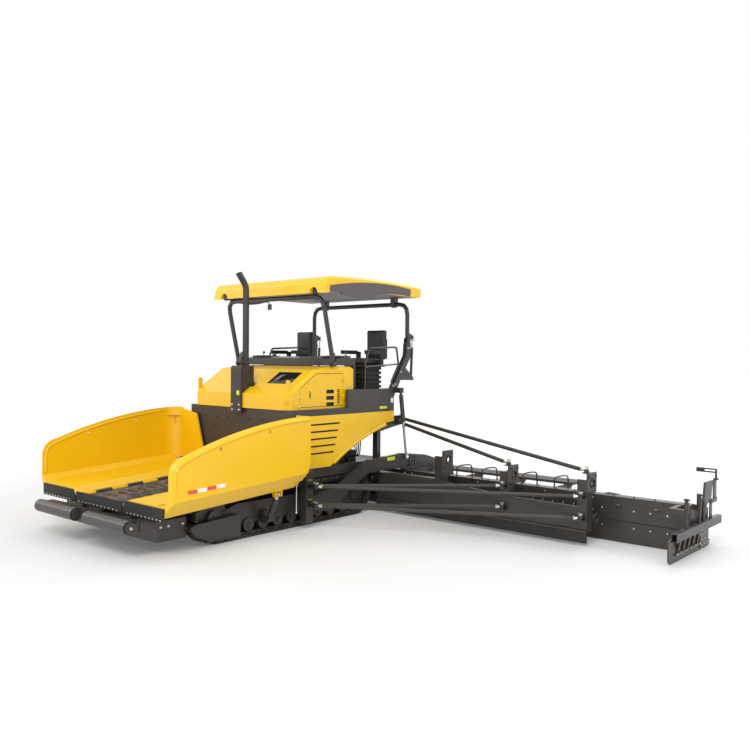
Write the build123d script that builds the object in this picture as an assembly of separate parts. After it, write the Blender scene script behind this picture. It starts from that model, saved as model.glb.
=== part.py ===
from build123d import *
from math import cos, degrees, pi, radians, sin, tan
import os

# Asphalt paver on tracks, in millimetres.
# +X is the machine's left, +Y points to its rear, +Z is up.
# The origin lies on the ground, midway between the outermost points of the whole machine.

# General clearances, and the flat sides and bend chords that plain bars are given
SEAT_GAP = 0.3
BAR_SIDES = 12
BEND_STEPS = 3

# Tracks
TRACK_INNER = 900.0
TRACK_OUTER = 1200.0
IDLER_Y = -1950.0
SPROCKET_Y = 930.0
TRACK_HEIGHT = 690.0
SHOE_THICK = 34.0
SHOE_ROOT = 8.0
CHAIN_THICK = 46.0
CHAIN_HALF = 125.0
SHOE_COUNT = 46
SHOE_GAP_SHARE = 0.14
ROLLER_COUNT = 9
ROLLER_R = 95.0

# Chassis
CHASSIS_HALF = 640.0
CHASSIS_PLATE = 30.0
CHASSIS_FRONT = -2900.0
CHASSIS_REAR = 1290.0
CHASSIS_LOW = 230.0
FENDER_HIGH = 865.0
BODY_HALF = 1250.0
DECK_LOW = 1675.0
DECK_HIGH = 1775.0
DECK_FRONT = -570.0
FRAME_FACE = -540.0
DECK_REAR = 1830.0

# Hopper
HOPPER_SLOPE = 3.5
WING_FRONT = -3000.0
WING_REAR = -605.0
WING_HALF = 1680.0
WALL_THICK = 70.0
WALL_ROUND = 62.0
HINGE_X = 600.0
HINGE_Z = 585.0
HINGE_R = 26.0
WING_TOP_FRONT = 1315.0
WING_TOP_MID = 1605.0
WING_TOP_REAR = 1720.0
KNUCKLE_COUNT = 9
WING_HOLE_R = 25.0
WING_HOLES = [
    # y, height
    (-1394.0, 1539.0),
    (-2245.0, 1372.0),
]
FLAP_THICK = 24.0
FLAP_TOP = 672.0
FLAP_LOW = 505.0

# Push rollers
ROLLER_AXIS_Y = -3260.0
ROLLER_AXIS_Z = 420.0
PUSH_R = 90.0
PUSH_IN = 150.0
PUSH_OUT = 1150.0
PUSH_PLATE = 30.0

# Hood
HOOD_HALF = 1155.0
HOOD_FRONT = -600.0
HOOD_NOSE_RISE = 225.0
HOOD_NOSE = DECK_HIGH + HOOD_NOSE_RISE
HOOD_BREAK_Y = -10.0
HOOD_BREAK_Z = 2385.0
HOOD_TOP = 2440.0
HOOD_CREST_Y = 380.0
HOOD_REAR = 880.0
SHEET = 25.0
DOOR_FRONT = -330.0
DOOR_REAR = 640.0
DOOR_LOW = 1805.0
DOOR_HIGH = 2330.0

# Platform
PLATFORM_HALF = 1250.0
PLATFORM_FRONT = 890.0
PLATFORM_REAR = 1830.0
BOX_FRONT = 660.0
BOX_TOP = 2065.0

# Canopy
ROOF_HALF = 1370.0
ROOF_FRONT = 0.0
ROOF_REAR = 2395.0
ROOF_TOP = 3880.0
ROOF_REAR_DROP = 40.0
ROOF_DEPTH = 225.0
ROOF_REAR_TOP = ROOF_TOP - ROOF_REAR_DROP
ROOF_LOW = ROOF_TOP - ROOF_DEPTH
ARCH_R = 38.0
ARCH_X = 1165.0
FRONT_FOOT_Y = 390.0
FRONT_FOOT_Z = 2490.0
FRONT_TOP_Y = 140.0
ARCH_TOP_Z = 3545.0
REAR_ARCH_Y = 2285.0
REAR_JOINT_Z = 2910.0

# Screed and paving width
PAVING_HALF = 6250.0
SCREED_FRONT = 1955.0
SCREED_HIGH = 650.0
SCREED_LOW = 8.0
BASIC_HALF = 1480.0
SECTION_SPLIT = 4950.0
LIMIT_Y = 1430.0
LIMIT_THICK = 20.0
AUGER_Y = 1690.0
AUGER_Z = 345.0
AUGER_R = 195.0
AUGER_SHAFT_R = 50.0
AUGER_PITCH = 330.0
AUGER_END = 4900.0
FLIGHT_SIDES = 18
FLIGHT_THICK = 14.0
TOW_Y = -240.0
TOW_Z = 330.0
ARM_IN = 1315.0
ARM_OUT = 1385.0
MACHINE_END = 3350.0

os.makedirs("parts", exist_ok=True)


def box(x0, x1, y0, y1, z0, z1):
    """A block between two corners."""
    solid = Box(abs(x1 - x0), abs(y1 - y0), abs(z1 - z0))
    return Pos((x0 + x1) / 2, (y0 + y1) / 2, (z0 + z1) / 2) * solid


def side_plate(outline, x0, x1):
    """A flat plate with its outline given as (y, z) points, from x0 to x1."""
    face = make_face(Polyline(*[(x0, y, z) for y, z in outline], close=True))
    return extrude(face, amount=x1 - x0, dir=(1, 0, 0))


def cross_plate(outline, y0, y1):
    """A flat plate with its outline given as (x, z) points, from y0 to y1."""
    face = make_face(Polyline(*[(x, y0, z) for x, z in outline], close=True))
    return extrude(face, amount=y1 - y0, dir=(0, 1, 0))


def floor_plate(outline, z0, z1):
    """A flat plate with its outline given as (x, y) points, from z0 to z1."""
    face = make_face(Polyline(*[(x, y, z0) for x, y in outline], close=True))
    return extrude(face, amount=z1 - z0, dir=(0, 0, 1))


def rod(start, end, radius):
    """A round bar between two points."""
    start, end = Vector(*start), Vector(*end)
    way = end - start
    base = Plane(origin=start, z_dir=way)
    return extrude(base * Circle(radius), amount=way.length)


def pipe(start, end, radius, bore):
    """A round tube between two points."""
    return rod(start, end, radius) - rod(start, end, bore)


def bar(start, end, radius, sides=BAR_SIDES):
    """A bar of flat sides between two points, with corners on its radius, one of them uppermost."""
    start, end = Vector(*start), Vector(*end)
    way = end - start
    lean = Vector(1, 0, 0) if abs(way.normalized().Z) > 0.99 else Vector(0, 0, 1)
    across = lean - way.normalized() * lean.dot(way.normalized())
    base = Plane(origin=start, x_dir=across, z_dir=way)
    return extrude(base * RegularPolygon(radius, sides), amount=way.length)


def eased(points, bend):
    """The points of a bent run, with each turn eased into a few short chords."""
    run = [Vector(*point) for point in points]
    result = [run[0]]
    for before, corner, after in zip(run, run[1:], run[2:]):
        back = (before - corner).normalized()
        ahead = (after - corner).normalized()
        reach = bend * tan(radians((180 - back.get_angle(ahead)) / 2))
        for step in range(BEND_STEPS + 1):
            share = step / BEND_STEPS
            inner = corner + back * (reach * (1 - share) ** 2) + ahead * (reach * share ** 2)
            result.append(inner)
    return result + [run[-1]]


def bent_bar(points, bend, radius, sides=BAR_SIDES):
    """A bar of flat sides along straight runs with eased turns."""
    path = Polyline(*eased(points, bend))
    start = Plane(origin=path @ 0, z_dir=path % 0)
    return sweep(start * RegularPolygon(radius, sides), path=path, transition=Transition.RIGHT)


def mirrored(shape):
    """The same shape on the machine's other side."""
    return mirror(shape, about=Plane.YZ)


def both_sides(shape):
    """A list of the shape and its mirror image."""
    return [shape, mirrored(shape)]


def save(name, shapes):
    """Write one node from a solid or a list of solids."""
    if not isinstance(shapes, (list, tuple)):
        shapes = [shapes]
    solids = [solid for shape in shapes for solid in shape.solids()]
    whole = solids[0] if len(solids) == 1 else Compound(children=solids)
    export_step(whole, f"parts/{name}.step")


def save_pair(name, shape):
    """Write a left node and its mirror image as the right node."""
    save(f"{name}_left", shape)
    save(f"{name}_right", mirrored(shape))


# Tracks: one closed loop each, with its shoes in the outline

TRACK_R = TRACK_HEIGHT / 2
TRACK_MID = (TRACK_INNER + TRACK_OUTER) / 2
TRACK_RUN = SPROCKET_Y - IDLER_Y
LOOP_LENGTH = 2 * TRACK_RUN + 2 * pi * TRACK_R


def loop_point(along, depth):
    """A point of the track loop, at a length along its outside and a depth below it."""
    along = along % LOOP_LENGTH
    reach = TRACK_R - depth
    if along < TRACK_RUN:
        return (IDLER_Y + along, TRACK_R - reach)
    along -= TRACK_RUN
    if along < pi * TRACK_R:
        turn = along / TRACK_R
        return (SPROCKET_Y + reach * sin(turn), TRACK_R - reach * cos(turn))
    along -= pi * TRACK_R
    if along < TRACK_RUN:
        return (SPROCKET_Y - along, TRACK_R + reach)
    turn = (along - TRACK_RUN) / TRACK_R
    return (IDLER_Y - reach * sin(turn), TRACK_R + reach * cos(turn))


def loop_slab(depth, x0, x1):
    """The filled loop at a depth below the shoes' outside."""
    reach = TRACK_R - depth
    slab = box(x0, x1, IDLER_Y, SPROCKET_Y, TRACK_R - reach, TRACK_R + reach)
    for centre in (IDLER_Y, SPROCKET_Y):
        slab += rod((x0, centre, TRACK_R), (x1, centre, TRACK_R), reach)
    return slab


def track():
    """Shoe plates across the full width on a narrower chain, as one fixed loop."""
    pitch = LOOP_LENGTH / SHOE_COUNT
    outline = []
    for shoe in range(SHOE_COUNT):
        start = shoe * pitch
        end = start + pitch * (1 - SHOE_GAP_SHARE)
        outline.append(loop_point(start, SHOE_THICK))
        outline.append(loop_point(start, 0.0))
        outline.append(loop_point(end, 0.0))
        outline.append(loop_point(end, SHOE_THICK))
    shoes = side_plate(outline, TRACK_INNER, TRACK_OUTER)
    shoes -= loop_slab(SHOE_THICK + SHOE_ROOT, TRACK_INNER - 1, TRACK_OUTER + 1)
    chain = loop_slab(SHOE_THICK, TRACK_MID - CHAIN_HALF, TRACK_MID + CHAIN_HALF)
    chain -= loop_slab(SHOE_THICK + CHAIN_THICK, TRACK_INNER, TRACK_OUTER)
    return shoes + chain


WHEEL_SIDES = 20
WHEEL_R = TRACK_R - SHOE_THICK - CHAIN_THICK - 8.0


def track_frame():
    """Beam, road rollers, front idler and rear sprocket inside one track."""
    inner_floor = SHOE_THICK + CHAIN_THICK
    roller_z = inner_floor + ROLLER_R + SEAT_GAP
    beam_outline = [
        (IDLER_Y + 120, roller_z + 20),
        (SPROCKET_Y - 60, roller_z + 20),
        (SPROCKET_Y - 60, TRACK_R + 110),
        (SPROCKET_Y - 330, TRACK_R + 150),
        (IDLER_Y + 420, TRACK_R + 150),
        (IDLER_Y + 120, TRACK_R + 60),
    ]
    frame = side_plate(beam_outline, TRACK_MID - 90, TRACK_MID + 90)
    first = IDLER_Y + 330
    step = (SPROCKET_Y - 300 - first) / (ROLLER_COUNT - 1)
    for index in range(ROLLER_COUNT):
        y = first + index * step
        frame += bar((TRACK_MID - 120, y, roller_z), (TRACK_MID + 120, y, roller_z), ROLLER_R, WHEEL_SIDES)
    for centre in (IDLER_Y, SPROCKET_Y):
        frame += bar((TRACK_MID - 70, centre, TRACK_R), (TRACK_MID + 70, centre, TRACK_R), WHEEL_R, WHEEL_SIDES)
        hub = bar((TRACK_MID - 110, centre, TRACK_R), (TRACK_MID + 125, centre, TRACK_R), WHEEL_R * 0.45, WHEEL_SIDES)
        frame += hub
    carrier = box(CHASSIS_HALF, TRACK_MID, -1250, -1050, TRACK_R - 60, TRACK_R + 90)
    frame += carrier + Pos(0, 1550, 0) * carrier
    return frame


save_pair("track", track())
save("track_frames", both_sides(track_frame()))


# Chassis

SLOPE_RISE = tan(radians(HOPPER_SLOPE))
HINGE_WAY = (0, cos(radians(HOPPER_SLOPE)), sin(radians(HOPPER_SLOPE)))
GUIDE_IN = 1290.0
GUIDE_OUT = 1420.0
GUIDE_WALL = 14.0
GUIDE_FRONT = -440.0
GUIDE_REAR = -285.0
GUIDE_LOW = 80.0
GUIDE_HIGH = 865.0
RAM_FOOT_X = 1275.0
RAM_FOOT_Z = 210.0
RAM_LUG_X = 1490.0
RAM_LUG_Y = -1080.0
RAM_LUG_Z = 612.0
RAM_FOOT_Y = RAM_LUG_Y + (RAM_LUG_Z - RAM_FOOT_Z) * SLOPE_RISE
RAM_PIN_R = 14.0
EYE_R = 34.0
FIT = 0.05
TIE_HIGH = 650.0
TIE_LOW = 364.0
EYE_HALF = 20.0


SWIVEL_Y = -2950.0
SWIVEL_LOW = 300.0
SWIVEL_HIGH = 414.0
SWIVEL_PIN_R = 25.0


def hinge_height(y):
    """Height of the wings' hinge line, which rises to the rear."""
    return HINGE_Z + (y - WING_FRONT) * SLOPE_RISE


def eye_fork(x0, x1, y0, y1, z):
    """Two level plates that hold a tie rod's eye between them."""
    reach = EYE_HALF + SEAT_GAP
    return box(x0, x1, y0, y1, z - 36, z - reach) + box(x0, x1, y0, y1, z + reach, z + 36)


def main_frame():
    """Side plates, belly plate, front box, fenders, deck beams and tow point guides."""
    side_outline = [
        (CHASSIS_FRONT, CHASSIS_LOW),
        (CHASSIS_FRONT, hinge_height(CHASSIS_FRONT) - HINGE_R - 4),
        (FRAME_FACE - 80, hinge_height(FRAME_FACE - 80) - HINGE_R - 4),
        (FRAME_FACE, 800),
        (FRAME_FACE, DECK_LOW),
        (PLATFORM_REAR - 420, DECK_LOW),
        (CHASSIS_REAR, FENDER_HIGH),
        (CHASSIS_REAR, CHASSIS_LOW),
    ]
    side = side_plate(side_outline, CHASSIS_HALF - CHASSIS_PLATE, CHASSIS_HALF)
    fender = box(CHASSIS_HALF, TRACK_OUTER - 15, FRAME_FACE, CHASSIS_REAR, 800, FENDER_HIGH)
    fender += box(TRACK_OUTER - 15, TRACK_OUTER + 15, FRAME_FACE, CHASSIS_REAR, 712, FENDER_HIGH)
    guide = box(GUIDE_IN, GUIDE_OUT, GUIDE_FRONT, GUIDE_REAR, GUIDE_LOW, GUIDE_HIGH)
    guide -= box(
        GUIDE_IN + GUIDE_WALL,
        GUIDE_OUT - GUIDE_WALL,
        GUIDE_FRONT + GUIDE_WALL,
        GUIDE_REAR + 1,
        GUIDE_LOW + 20,
        GUIDE_HIGH - 20,
    )
    hanger = box(TRACK_OUTER + 15, GUIDE_IN, GUIDE_FRONT, GUIDE_REAR, 760, FENDER_HIGH)
    deck_beam = box(CHASSIS_HALF, BODY_HALF - 40, FRAME_FACE, FRAME_FACE + 100, 1560, DECK_LOW)
    post = box(CHASSIS_HALF, CHASSIS_HALF + 90, FRAME_FACE, FRAME_FACE + 100, FENDER_HIGH, 1560)
    for z in (TIE_LOW, TIE_HIGH):
        guide += eye_fork(GUIDE_OUT, 1600, -402, -290, z)
    half = side + fender + guide + hanger + deck_beam + post
    rear_beam = box(CHASSIS_HALF, BODY_HALF - 90, PLATFORM_REAR - 520, PLATFORM_REAR - 420, 1560, DECK_LOW)
    half += rear_beam
    belly = box(-CHASSIS_HALF, CHASSIS_HALF, CHASSIS_FRONT, CHASSIS_REAR, CHASSIS_LOW, CHASSIS_LOW + 30)
    rear_tie = box(-CHASSIS_HALF, CHASSIS_HALF, PLATFORM_REAR - 520, PLATFORM_REAR - 420, 1560, DECK_LOW)
    front_outline = [
        (-2860, 165),
        (-2400, 165),
        (-2400, 440),
        (-2860, 440),
    ]
    front_box = side_plate(front_outline, -1150, 1150)
    for low in (SWIVEL_LOW, SWIVEL_HIGH):
        front_box += box(-90, 90, SWIVEL_Y - 55, -2850, low, low + 26)
    front_box += rod((0, SWIVEL_Y, SWIVEL_LOW), (0, SWIVEL_Y, SWIVEL_HIGH + 26), SWIVEL_PIN_R)
    rear_wall = box(-CHASSIS_HALF, CHASSIS_HALF, CHASSIS_REAR - 25, CHASSIS_REAR, 930, 1400)
    return half + mirrored(half) + belly + rear_tie + rear_wall + front_box


def track_guard():
    """Sheet box that shields the front of a track."""
    outline = [
        (-2400, 270),
        (-2316, 170),
        (-2060, 62),
        (-1560, 62),
        (-1560, 372),
        (-2316, 330),
        (-2400, 305),
    ]
    outer = side_plate(outline, TRACK_OUTER + 8, TRACK_OUTER + 60)
    roof = floor_plate([(TRACK_OUTER - 260, -2400), (TRACK_OUTER + 60, -2400), (TRACK_OUTER + 60, -2316), (TRACK_OUTER - 260, -2316)], 270, 305)
    stay = box(TRACK_MID + 90, TRACK_OUTER + 10, -1640, -1580, 300, 360)
    return outer + roof + stay


save("main_frame", main_frame())
save("track_guards", both_sides(track_guard()))


# Hopper wings

WING_BASE = [
    (WING_HALF, 750),
    (1505, 545),
    (1400, 545),
    (1370, 690),
    (1520, 705),
    (WING_HALF - WALL_THICK, 775),
]


def sloped_prism(outline, front, rear):
    """An (x, z) outline given at the wing's front, run back along the hopper's slope."""
    lift = (front - WING_FRONT) * SLOPE_RISE
    face = make_face(Polyline(*[(x, front, z + lift) for x, z in outline], close=True))
    return extrude(face, amount=(rear - front) / cos(radians(HOPPER_SLOPE)), dir=HINGE_WAY)


def wing_outline():
    """Side view of the wing wall: round front corner, bowed rising top and cut rear corner."""
    corner = 220.0
    front_top = (WING_FRONT, 1075)
    nose = (WING_FRONT + corner, WING_TOP_FRONT)
    mid = ((WING_FRONT + WING_REAR) / 2 + 80, WING_TOP_MID)
    rear = (WING_REAR, WING_TOP_REAR)
    place = lambda y, z: (0, y, z)
    edges = [
        Line(place(WING_FRONT, 400), place(*front_top)),
        ThreePointArc(place(*front_top), place(WING_FRONT + 62, 1238), place(*nose)),
        ThreePointArc(place(*nose), place(*mid), place(*rear)),
        Line(place(*rear), place(WING_REAR, 920)),
        Line(place(WING_REAR, 920), place(WING_REAR - 165, 700)),
        Line(place(WING_REAR - 165, 700), place(WING_REAR - 165, 400)),
        Line(place(WING_REAR - 165, 400), place(WING_FRONT, 400)),
    ]
    return make_face(Wire(edges))


def wing():
    """One tipping hopper side: bowed wall, sill beam, floor, rear wall and hinge knuckles."""
    tall = [(WING_HALF - WALL_THICK, 2100), (WING_HALF, 2100)]
    blank = sloped_prism(tall + WING_BASE, WING_FRONT, WING_REAR)
    cutter = extrude(wing_outline(), amount=WING_HALF + 10, dir=(1, 0, 0))
    wall = blank & cutter
    rim = [
        edge
        for edge in wall.edges()
        if abs(edge.center().X - WING_HALF) < 1 and edge.center().Z > 900 and edge.center().Y < WING_REAR - 5
    ]
    wall = fillet(rim, WALL_ROUND)
    for y, z in WING_HOLES:
        wall -= bar((WING_HALF - WALL_THICK - 5, y, z), (WING_HALF + 5, y, z), WING_HOLE_R, 16)
    floor_outline = [(1385, 665), (760, 652), (655, 585), (640, 610), (740, 690), (1400, 704)]
    floor = sloped_prism(floor_outline, WING_FRONT, WING_REAR)
    lift = (WING_REAR - WING_FRONT) * SLOPE_RISE
    rear_outline = [
        (1640, 740 + lift),
        (1640, 1690),
        (1445, 1695),
        (1250, 1668),
        (1030, 1625),
        (860, 1085),
        (755, 670 + lift),
    ]
    rear_wall = cross_plate(rear_outline, WING_REAR - 30, WING_REAR)
    cove_r = 210.0
    cove_x = WING_HALF - WALL_THICK - cove_r
    cove_y = WING_REAR - 30 - cove_r
    cove = box(cove_x, WING_HALF - WALL_THICK + 5, cove_y, WING_REAR - 20, 860, 1800)
    cove -= rod((cove_x, cove_y, 800), (cove_x, cove_y, 1900), cove_r)
    cove = cove & extrude(wing_outline(), amount=WING_HALF, dir=(1, 0, 0))
    body = wall + floor + rear_wall + cove
    for start, end in knuckle_spans(0):
        body += knuckle(start, end, 648)
    bore_start = (HINGE_X, WING_FRONT - 20, HINGE_Z - 20 * SLOPE_RISE)
    bore_end = (HINGE_X, WING_REAR + 20, hinge_height(WING_REAR + 20))
    body -= bar(bore_start, bore_end, (HINGE_PIN_R + FIT) / cos(pi / BAR_SIDES))
    lug = box(RAM_LUG_X - 38, RAM_LUG_X + 38, RAM_LUG_Y - 62, RAM_LUG_Y + 62, RAM_LUG_Z, 700)
    lug += rod((RAM_LUG_X, RAM_LUG_Y - 62, RAM_LUG_Z), (RAM_LUG_X, RAM_LUG_Y + 62, RAM_LUG_Z), 38)
    lug -= box(RAM_LUG_X - 60, RAM_LUG_X + 60, RAM_LUG_Y - 42, RAM_LUG_Y + 42, RAM_LUG_Z - 60, 660)
    return body + lug


HINGE_PIN_R = 10.0
KNUCKLE_GAP = 6.0


def knuckle_spans(parity):
    """Front and rear ends of every second hinge knuckle."""
    first = WING_FRONT + 30
    length = (WING_REAR - 40 - first) / KNUCKLE_COUNT
    spans = []
    for index in range(KNUCKLE_COUNT):
        if index % 2 == parity:
            start = first + index * length + KNUCKLE_GAP / 2
            spans.append((start, start + length - KNUCKLE_GAP))
    return spans


def knuckle(start, end, reach_x):
    """A hinge barrel on the sloped line, with its leaf out to reach_x."""
    low, high = HINGE_Z - 9, HINGE_Z + 15
    leaf = [(HINGE_X, low), (reach_x, low + 10), (reach_x, high + 5), (HINGE_X, high)]
    barrel = bar((HINGE_X, start, hinge_height(start)), (HINGE_X, end, hinge_height(end)), HINGE_R)
    return barrel + sloped_prism(leaf, start, end)


def wing_hinges():
    """The chassis side's knuckles and the long pins of both wings."""
    shape = None
    for start, end in knuckle_spans(1):
        leaf = [
            (HINGE_X - 12, HINGE_Z - 12),
            (HINGE_X + 12, HINGE_Z - 12),
            (HINGE_X + 12, HINGE_Z - HINGE_R - 4),
            (HINGE_X - 12, HINGE_Z - HINGE_R - 4),
        ]
        part = bar((HINGE_X, start, hinge_height(start)), (HINGE_X, end, hinge_height(end)), HINGE_R)
        part += sloped_prism(leaf, start, end)
        shape = part if shape is None else shape + part
    pin_start = (HINGE_X, WING_FRONT + 20, hinge_height(WING_FRONT + 20))
    pin_end = (HINGE_X, WING_REAR - 30, hinge_height(WING_REAR - 30))
    shape += rod(pin_start, pin_end, HINGE_PIN_R)
    return both_sides(shape)


save_pair("hopper_wing", wing())
save("wing_hinges", wing_hinges())


# Wing rams: two-stage telescopic cylinders

RAM_RISE = Vector(RAM_LUG_X - RAM_FOOT_X, RAM_LUG_Y - RAM_FOOT_Y, RAM_LUG_Z - RAM_FOOT_Z)
RAM_WAY = RAM_RISE.normalized()
RAM_STAGES = [
    # name, radius, bore radius, start, end
    ("wing_ram_barrel", 45.0, 36.0 + FIT, 60.0, 385.0),
    ("wing_ram_stage", 36.0, 27.0 + FIT, 64.0, 397.0),
    ("wing_ram_rod", 27.0, 0.0, 68.0, RAM_RISE.length - 20.0),
]


def ram_point(along):
    point = Vector(RAM_FOOT_X, RAM_FOOT_Y, RAM_FOOT_Z) + RAM_WAY * along
    return (point.X, point.Y, point.Z)


def ram_eye(along, half_width):
    centre = Vector(*ram_point(along))
    side = Vector(*HINGE_WAY) * half_width
    start, end = centre - side, centre + side
    return rod((start.X, start.Y, start.Z), (end.X, end.Y, end.Z), EYE_R)


def wing_ram(radius, bore, start, end):
    body = rod(ram_point(start), ram_point(end), radius)
    if bore:
        body -= rod(ram_point(start + 2), ram_point(end + 1), bore)
    return body


for name, radius, bore, start, end in RAM_STAGES:
    shape = wing_ram(radius, bore, start, end)
    if name == "wing_ram_barrel":
        shape += ram_eye(0, 30) + rod(ram_point(20), ram_point(start + 1), 26)
        foot_pin = Vector(*HINGE_WAY) * 50
        foot = Vector(*ram_point(0))
        pin_ends = [(point.X, point.Y, point.Z) for point in (foot - foot_pin, foot + foot_pin)]
        shape -= rod(*pin_ends, RAM_PIN_R + FIT)
    if name == "wing_ram_rod":
        shape += ram_eye(RAM_RISE.length, 22)
    save_pair(name, shape)


def ram_foot():
    """Clevis on the track frame that holds the foot of a wing ram."""
    foot = Vector(*ram_point(0))
    front, rear = RAM_FOOT_Y - 62, RAM_FOOT_Y + 62
    arm = box(TRACK_MID + 90, RAM_FOOT_X - 46, front, rear, TRACK_R - 60, TRACK_R)
    arm += box(TRACK_OUTER - 20, RAM_FOOT_X - 46, front, rear, RAM_FOOT_Z - 26, TRACK_R)
    cheeks = None
    for side in (-1, 1):
        near = Vector(*HINGE_WAY) * (33 * side)
        far = Vector(*HINGE_WAY) * (60 * side)
        start, end = foot + near, foot + far
        disc = rod((start.X, start.Y, start.Z), (end.X, end.Y, end.Z), EYE_R)
        y0, y1 = sorted((start.Y, end.Y))
        web = box(RAM_FOOT_X - 50, RAM_FOOT_X, y0 + 2, y1 - 2, RAM_FOOT_Z - 26, RAM_FOOT_Z + 26)
        cheek = disc + web
        cheeks = cheek if cheeks is None else cheeks + cheek
    pin = Vector(*HINGE_WAY) * 60
    start, end = foot - pin, foot + pin
    return arm + cheeks + rod((start.X, start.Y, start.Z), (end.X, end.Y, end.Z), RAM_PIN_R)


save("wing_ram_feet", both_sides(ram_foot()))


# Conveyors and front apron

CONVEYOR_DROP = 40.0
APRON_MIDDLE_HALF = HINGE_X - 20.0
SLAT_PITCH = 160.0


def conveyor():
    """Deck between the wings with a centre ridge, edge covers and two rows of slats."""
    half = CHASSIS_HALF - CHASSIS_PLATE
    top = HINGE_Z - CONVEYOR_DROP
    deck = [(-half, top - 25), (half, top - 25), (half, top), (-half, top)]
    shape = sloped_prism(deck, WING_FRONT, CHASSIS_REAR - 30)
    ridge = [(-70, top - 5), (70, top - 5), (22, top + 52), (-22, top + 52)]
    shape += sloped_prism(ridge, WING_FRONT + 5, DECK_FRONT)
    for side in (-1, 1):
        cover = [
            (side * 470, top - 5),
            (side * 560, top - 5),
            (side * 560, top + 34),
            (side * 530, top + 34),
        ]
        shape += sloped_prism(cover, WING_FRONT + 5, DECK_FRONT)
    y = WING_FRONT + 90
    while y < CHASSIS_REAR - 120:
        for side in (-1, 1):
            slat = [
                (side * 85, top - 5),
                (side * 462, top - 5),
                (side * 462, top + 16),
                (side * 85, top + 16),
            ]
            shape += sloped_prism(slat, y, y + 42)
        y += SLAT_PITCH
    return shape


def side_apron():
    """The rubber apron before a wing, cut back above the hinge so that it folds past the middle one."""
    outline = [
        (HINGE_X + 24, FLAP_LOW),
        (1535, FLAP_LOW),
        (1535, FLAP_TOP),
        (HINGE_X + 92, FLAP_TOP),
        (HINGE_X + 24, HINGE_Z),
    ]
    return cross_plate(outline, WING_FRONT - FLAP_THICK, WING_FRONT)


save("conveyor", conveyor())
middle_apron = box(
    -APRON_MIDDLE_HALF,
    APRON_MIDDLE_HALF,
    WING_FRONT - FLAP_THICK,
    WING_FRONT,
    FLAP_LOW,
    FLAP_TOP - 18,
)
save("apron_middle", middle_apron)
save_pair("apron_side", side_apron())


# Push roller beam and rollers

PUSH_SHAFT_R = 28.0


def push_beam():
    """Swivelling crossbar with a tongue at its middle and the rollers' end plates."""
    bar = box(-1200, 1200, -3130, -3040, 350, 470)
    tongue = box(-68, 68, -3045, SWIVEL_Y + 45, SWIVEL_LOW + 34, SWIVEL_HIGH - 8)
    tongue -= rod((0, SWIVEL_Y, 200), (0, SWIVEL_Y, 500), SWIVEL_PIN_R + FIT)
    shape = bar + tongue
    for start in (PUSH_IN - PUSH_PLATE - 4, PUSH_OUT + 4):
        plate = box(start, start + PUSH_PLATE, ROLLER_AXIS_Y, -3120, ROLLER_AXIS_Z - 66, ROLLER_AXIS_Z + 50)
        plate += rod((start, ROLLER_AXIS_Y, ROLLER_AXIS_Z), (start + PUSH_PLATE, ROLLER_AXIS_Y, ROLLER_AXIS_Z), 66)
        plate -= rod(
            (start - 1, ROLLER_AXIS_Y, ROLLER_AXIS_Z),
            (start + PUSH_PLATE + 1, ROLLER_AXIS_Y, ROLLER_AXIS_Z),
            PUSH_SHAFT_R + FIT,
        )
        shape += plate + mirrored(plate)
    return shape


def push_roller():
    drum = bar((PUSH_IN, ROLLER_AXIS_Y, ROLLER_AXIS_Z), (PUSH_OUT, ROLLER_AXIS_Y, ROLLER_AXIS_Z), PUSH_R, 24)
    shaft = rod(
        (PUSH_IN - PUSH_PLATE - 14, ROLLER_AXIS_Y, ROLLER_AXIS_Z),
        (PUSH_OUT + PUSH_PLATE + 14, ROLLER_AXIS_Y, ROLLER_AXIS_Z),
        PUSH_SHAFT_R,
    )
    return drum + shaft


save("push_beam", push_beam())
save_pair("push_roller", push_roller())


# Bulkhead, deck and side skirts

SKIRT_LOW = 865.0
LIP_CHORDS = 8


def bulkhead():
    outline = [
        (-BODY_HALF, DECK_LOW),
        (-BODY_HALF, 930),
        (BODY_HALF, 930),
        (BODY_HALF, DECK_LOW),
    ]
    return cross_plate(outline, DECK_FRONT, FRAME_FACE)


def deck():
    """Dark frame round the engine bay, closed under the operator's platform."""
    slab = box(-BODY_HALF, BODY_HALF, DECK_FRONT, DECK_REAR, DECK_LOW, DECK_HIGH)
    bay = box(-1040, 1040, DECK_FRONT + 110, BOX_FRONT - 40, DECK_LOW - 1, DECK_HIGH + 1)
    return slab - bay


def side_skirt():
    """Yellow side panel with slanted louvres and a bowed cut-out over the track's rear."""
    top = DECK_LOW - SEAT_GAP
    edges = [
        Line((0, -400, top), (0, PLATFORM_REAR, top)),
        Line((0, PLATFORM_REAR, top), (0, PLATFORM_REAR, 1500)),
        Line((0, PLATFORM_REAR, 1500), (0, 1620, 1480)),
        ThreePointArc((0, 1620, 1480), (0, 905, 1250), (0, 265, SKIRT_LOW)),
        Line((0, 265, SKIRT_LOW), (0, -400, SKIRT_LOW)),
        Line((0, -400, SKIRT_LOW), (0, -400, top)),
    ]
    face = make_face(Wire(edges))
    panel = Pos(BODY_HALF - SHEET, 0, 0) * extrude(face, amount=SHEET, dir=(1, 0, 0))
    for index in range(5):
        z = 1538 - index * 112
        rear = 470 - index * 33
        panel -= box(BODY_HALF - SHEET - 1, BODY_HALF + 1, -330, rear, z - 14, z + 14)
    lip_arc = ThreePointArc((0, 1620, 1446), (0, 925, 1218), (0, 345, SKIRT_LOW + 45))
    lip_path = Polyline(*[lip_arc @ (step / LIP_CHORDS) for step in range(LIP_CHORDS + 1)])
    lip_start = Plane(origin=lip_path @ 0, z_dir=lip_path % 0)
    lip = sweep(lip_start * RegularPolygon(36, BAR_SIDES), path=lip_path, transition=Transition.RIGHT)
    lip = Pos(BODY_HALF - 26, 0, 0) * lip
    return panel + (lip - panel)


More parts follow.
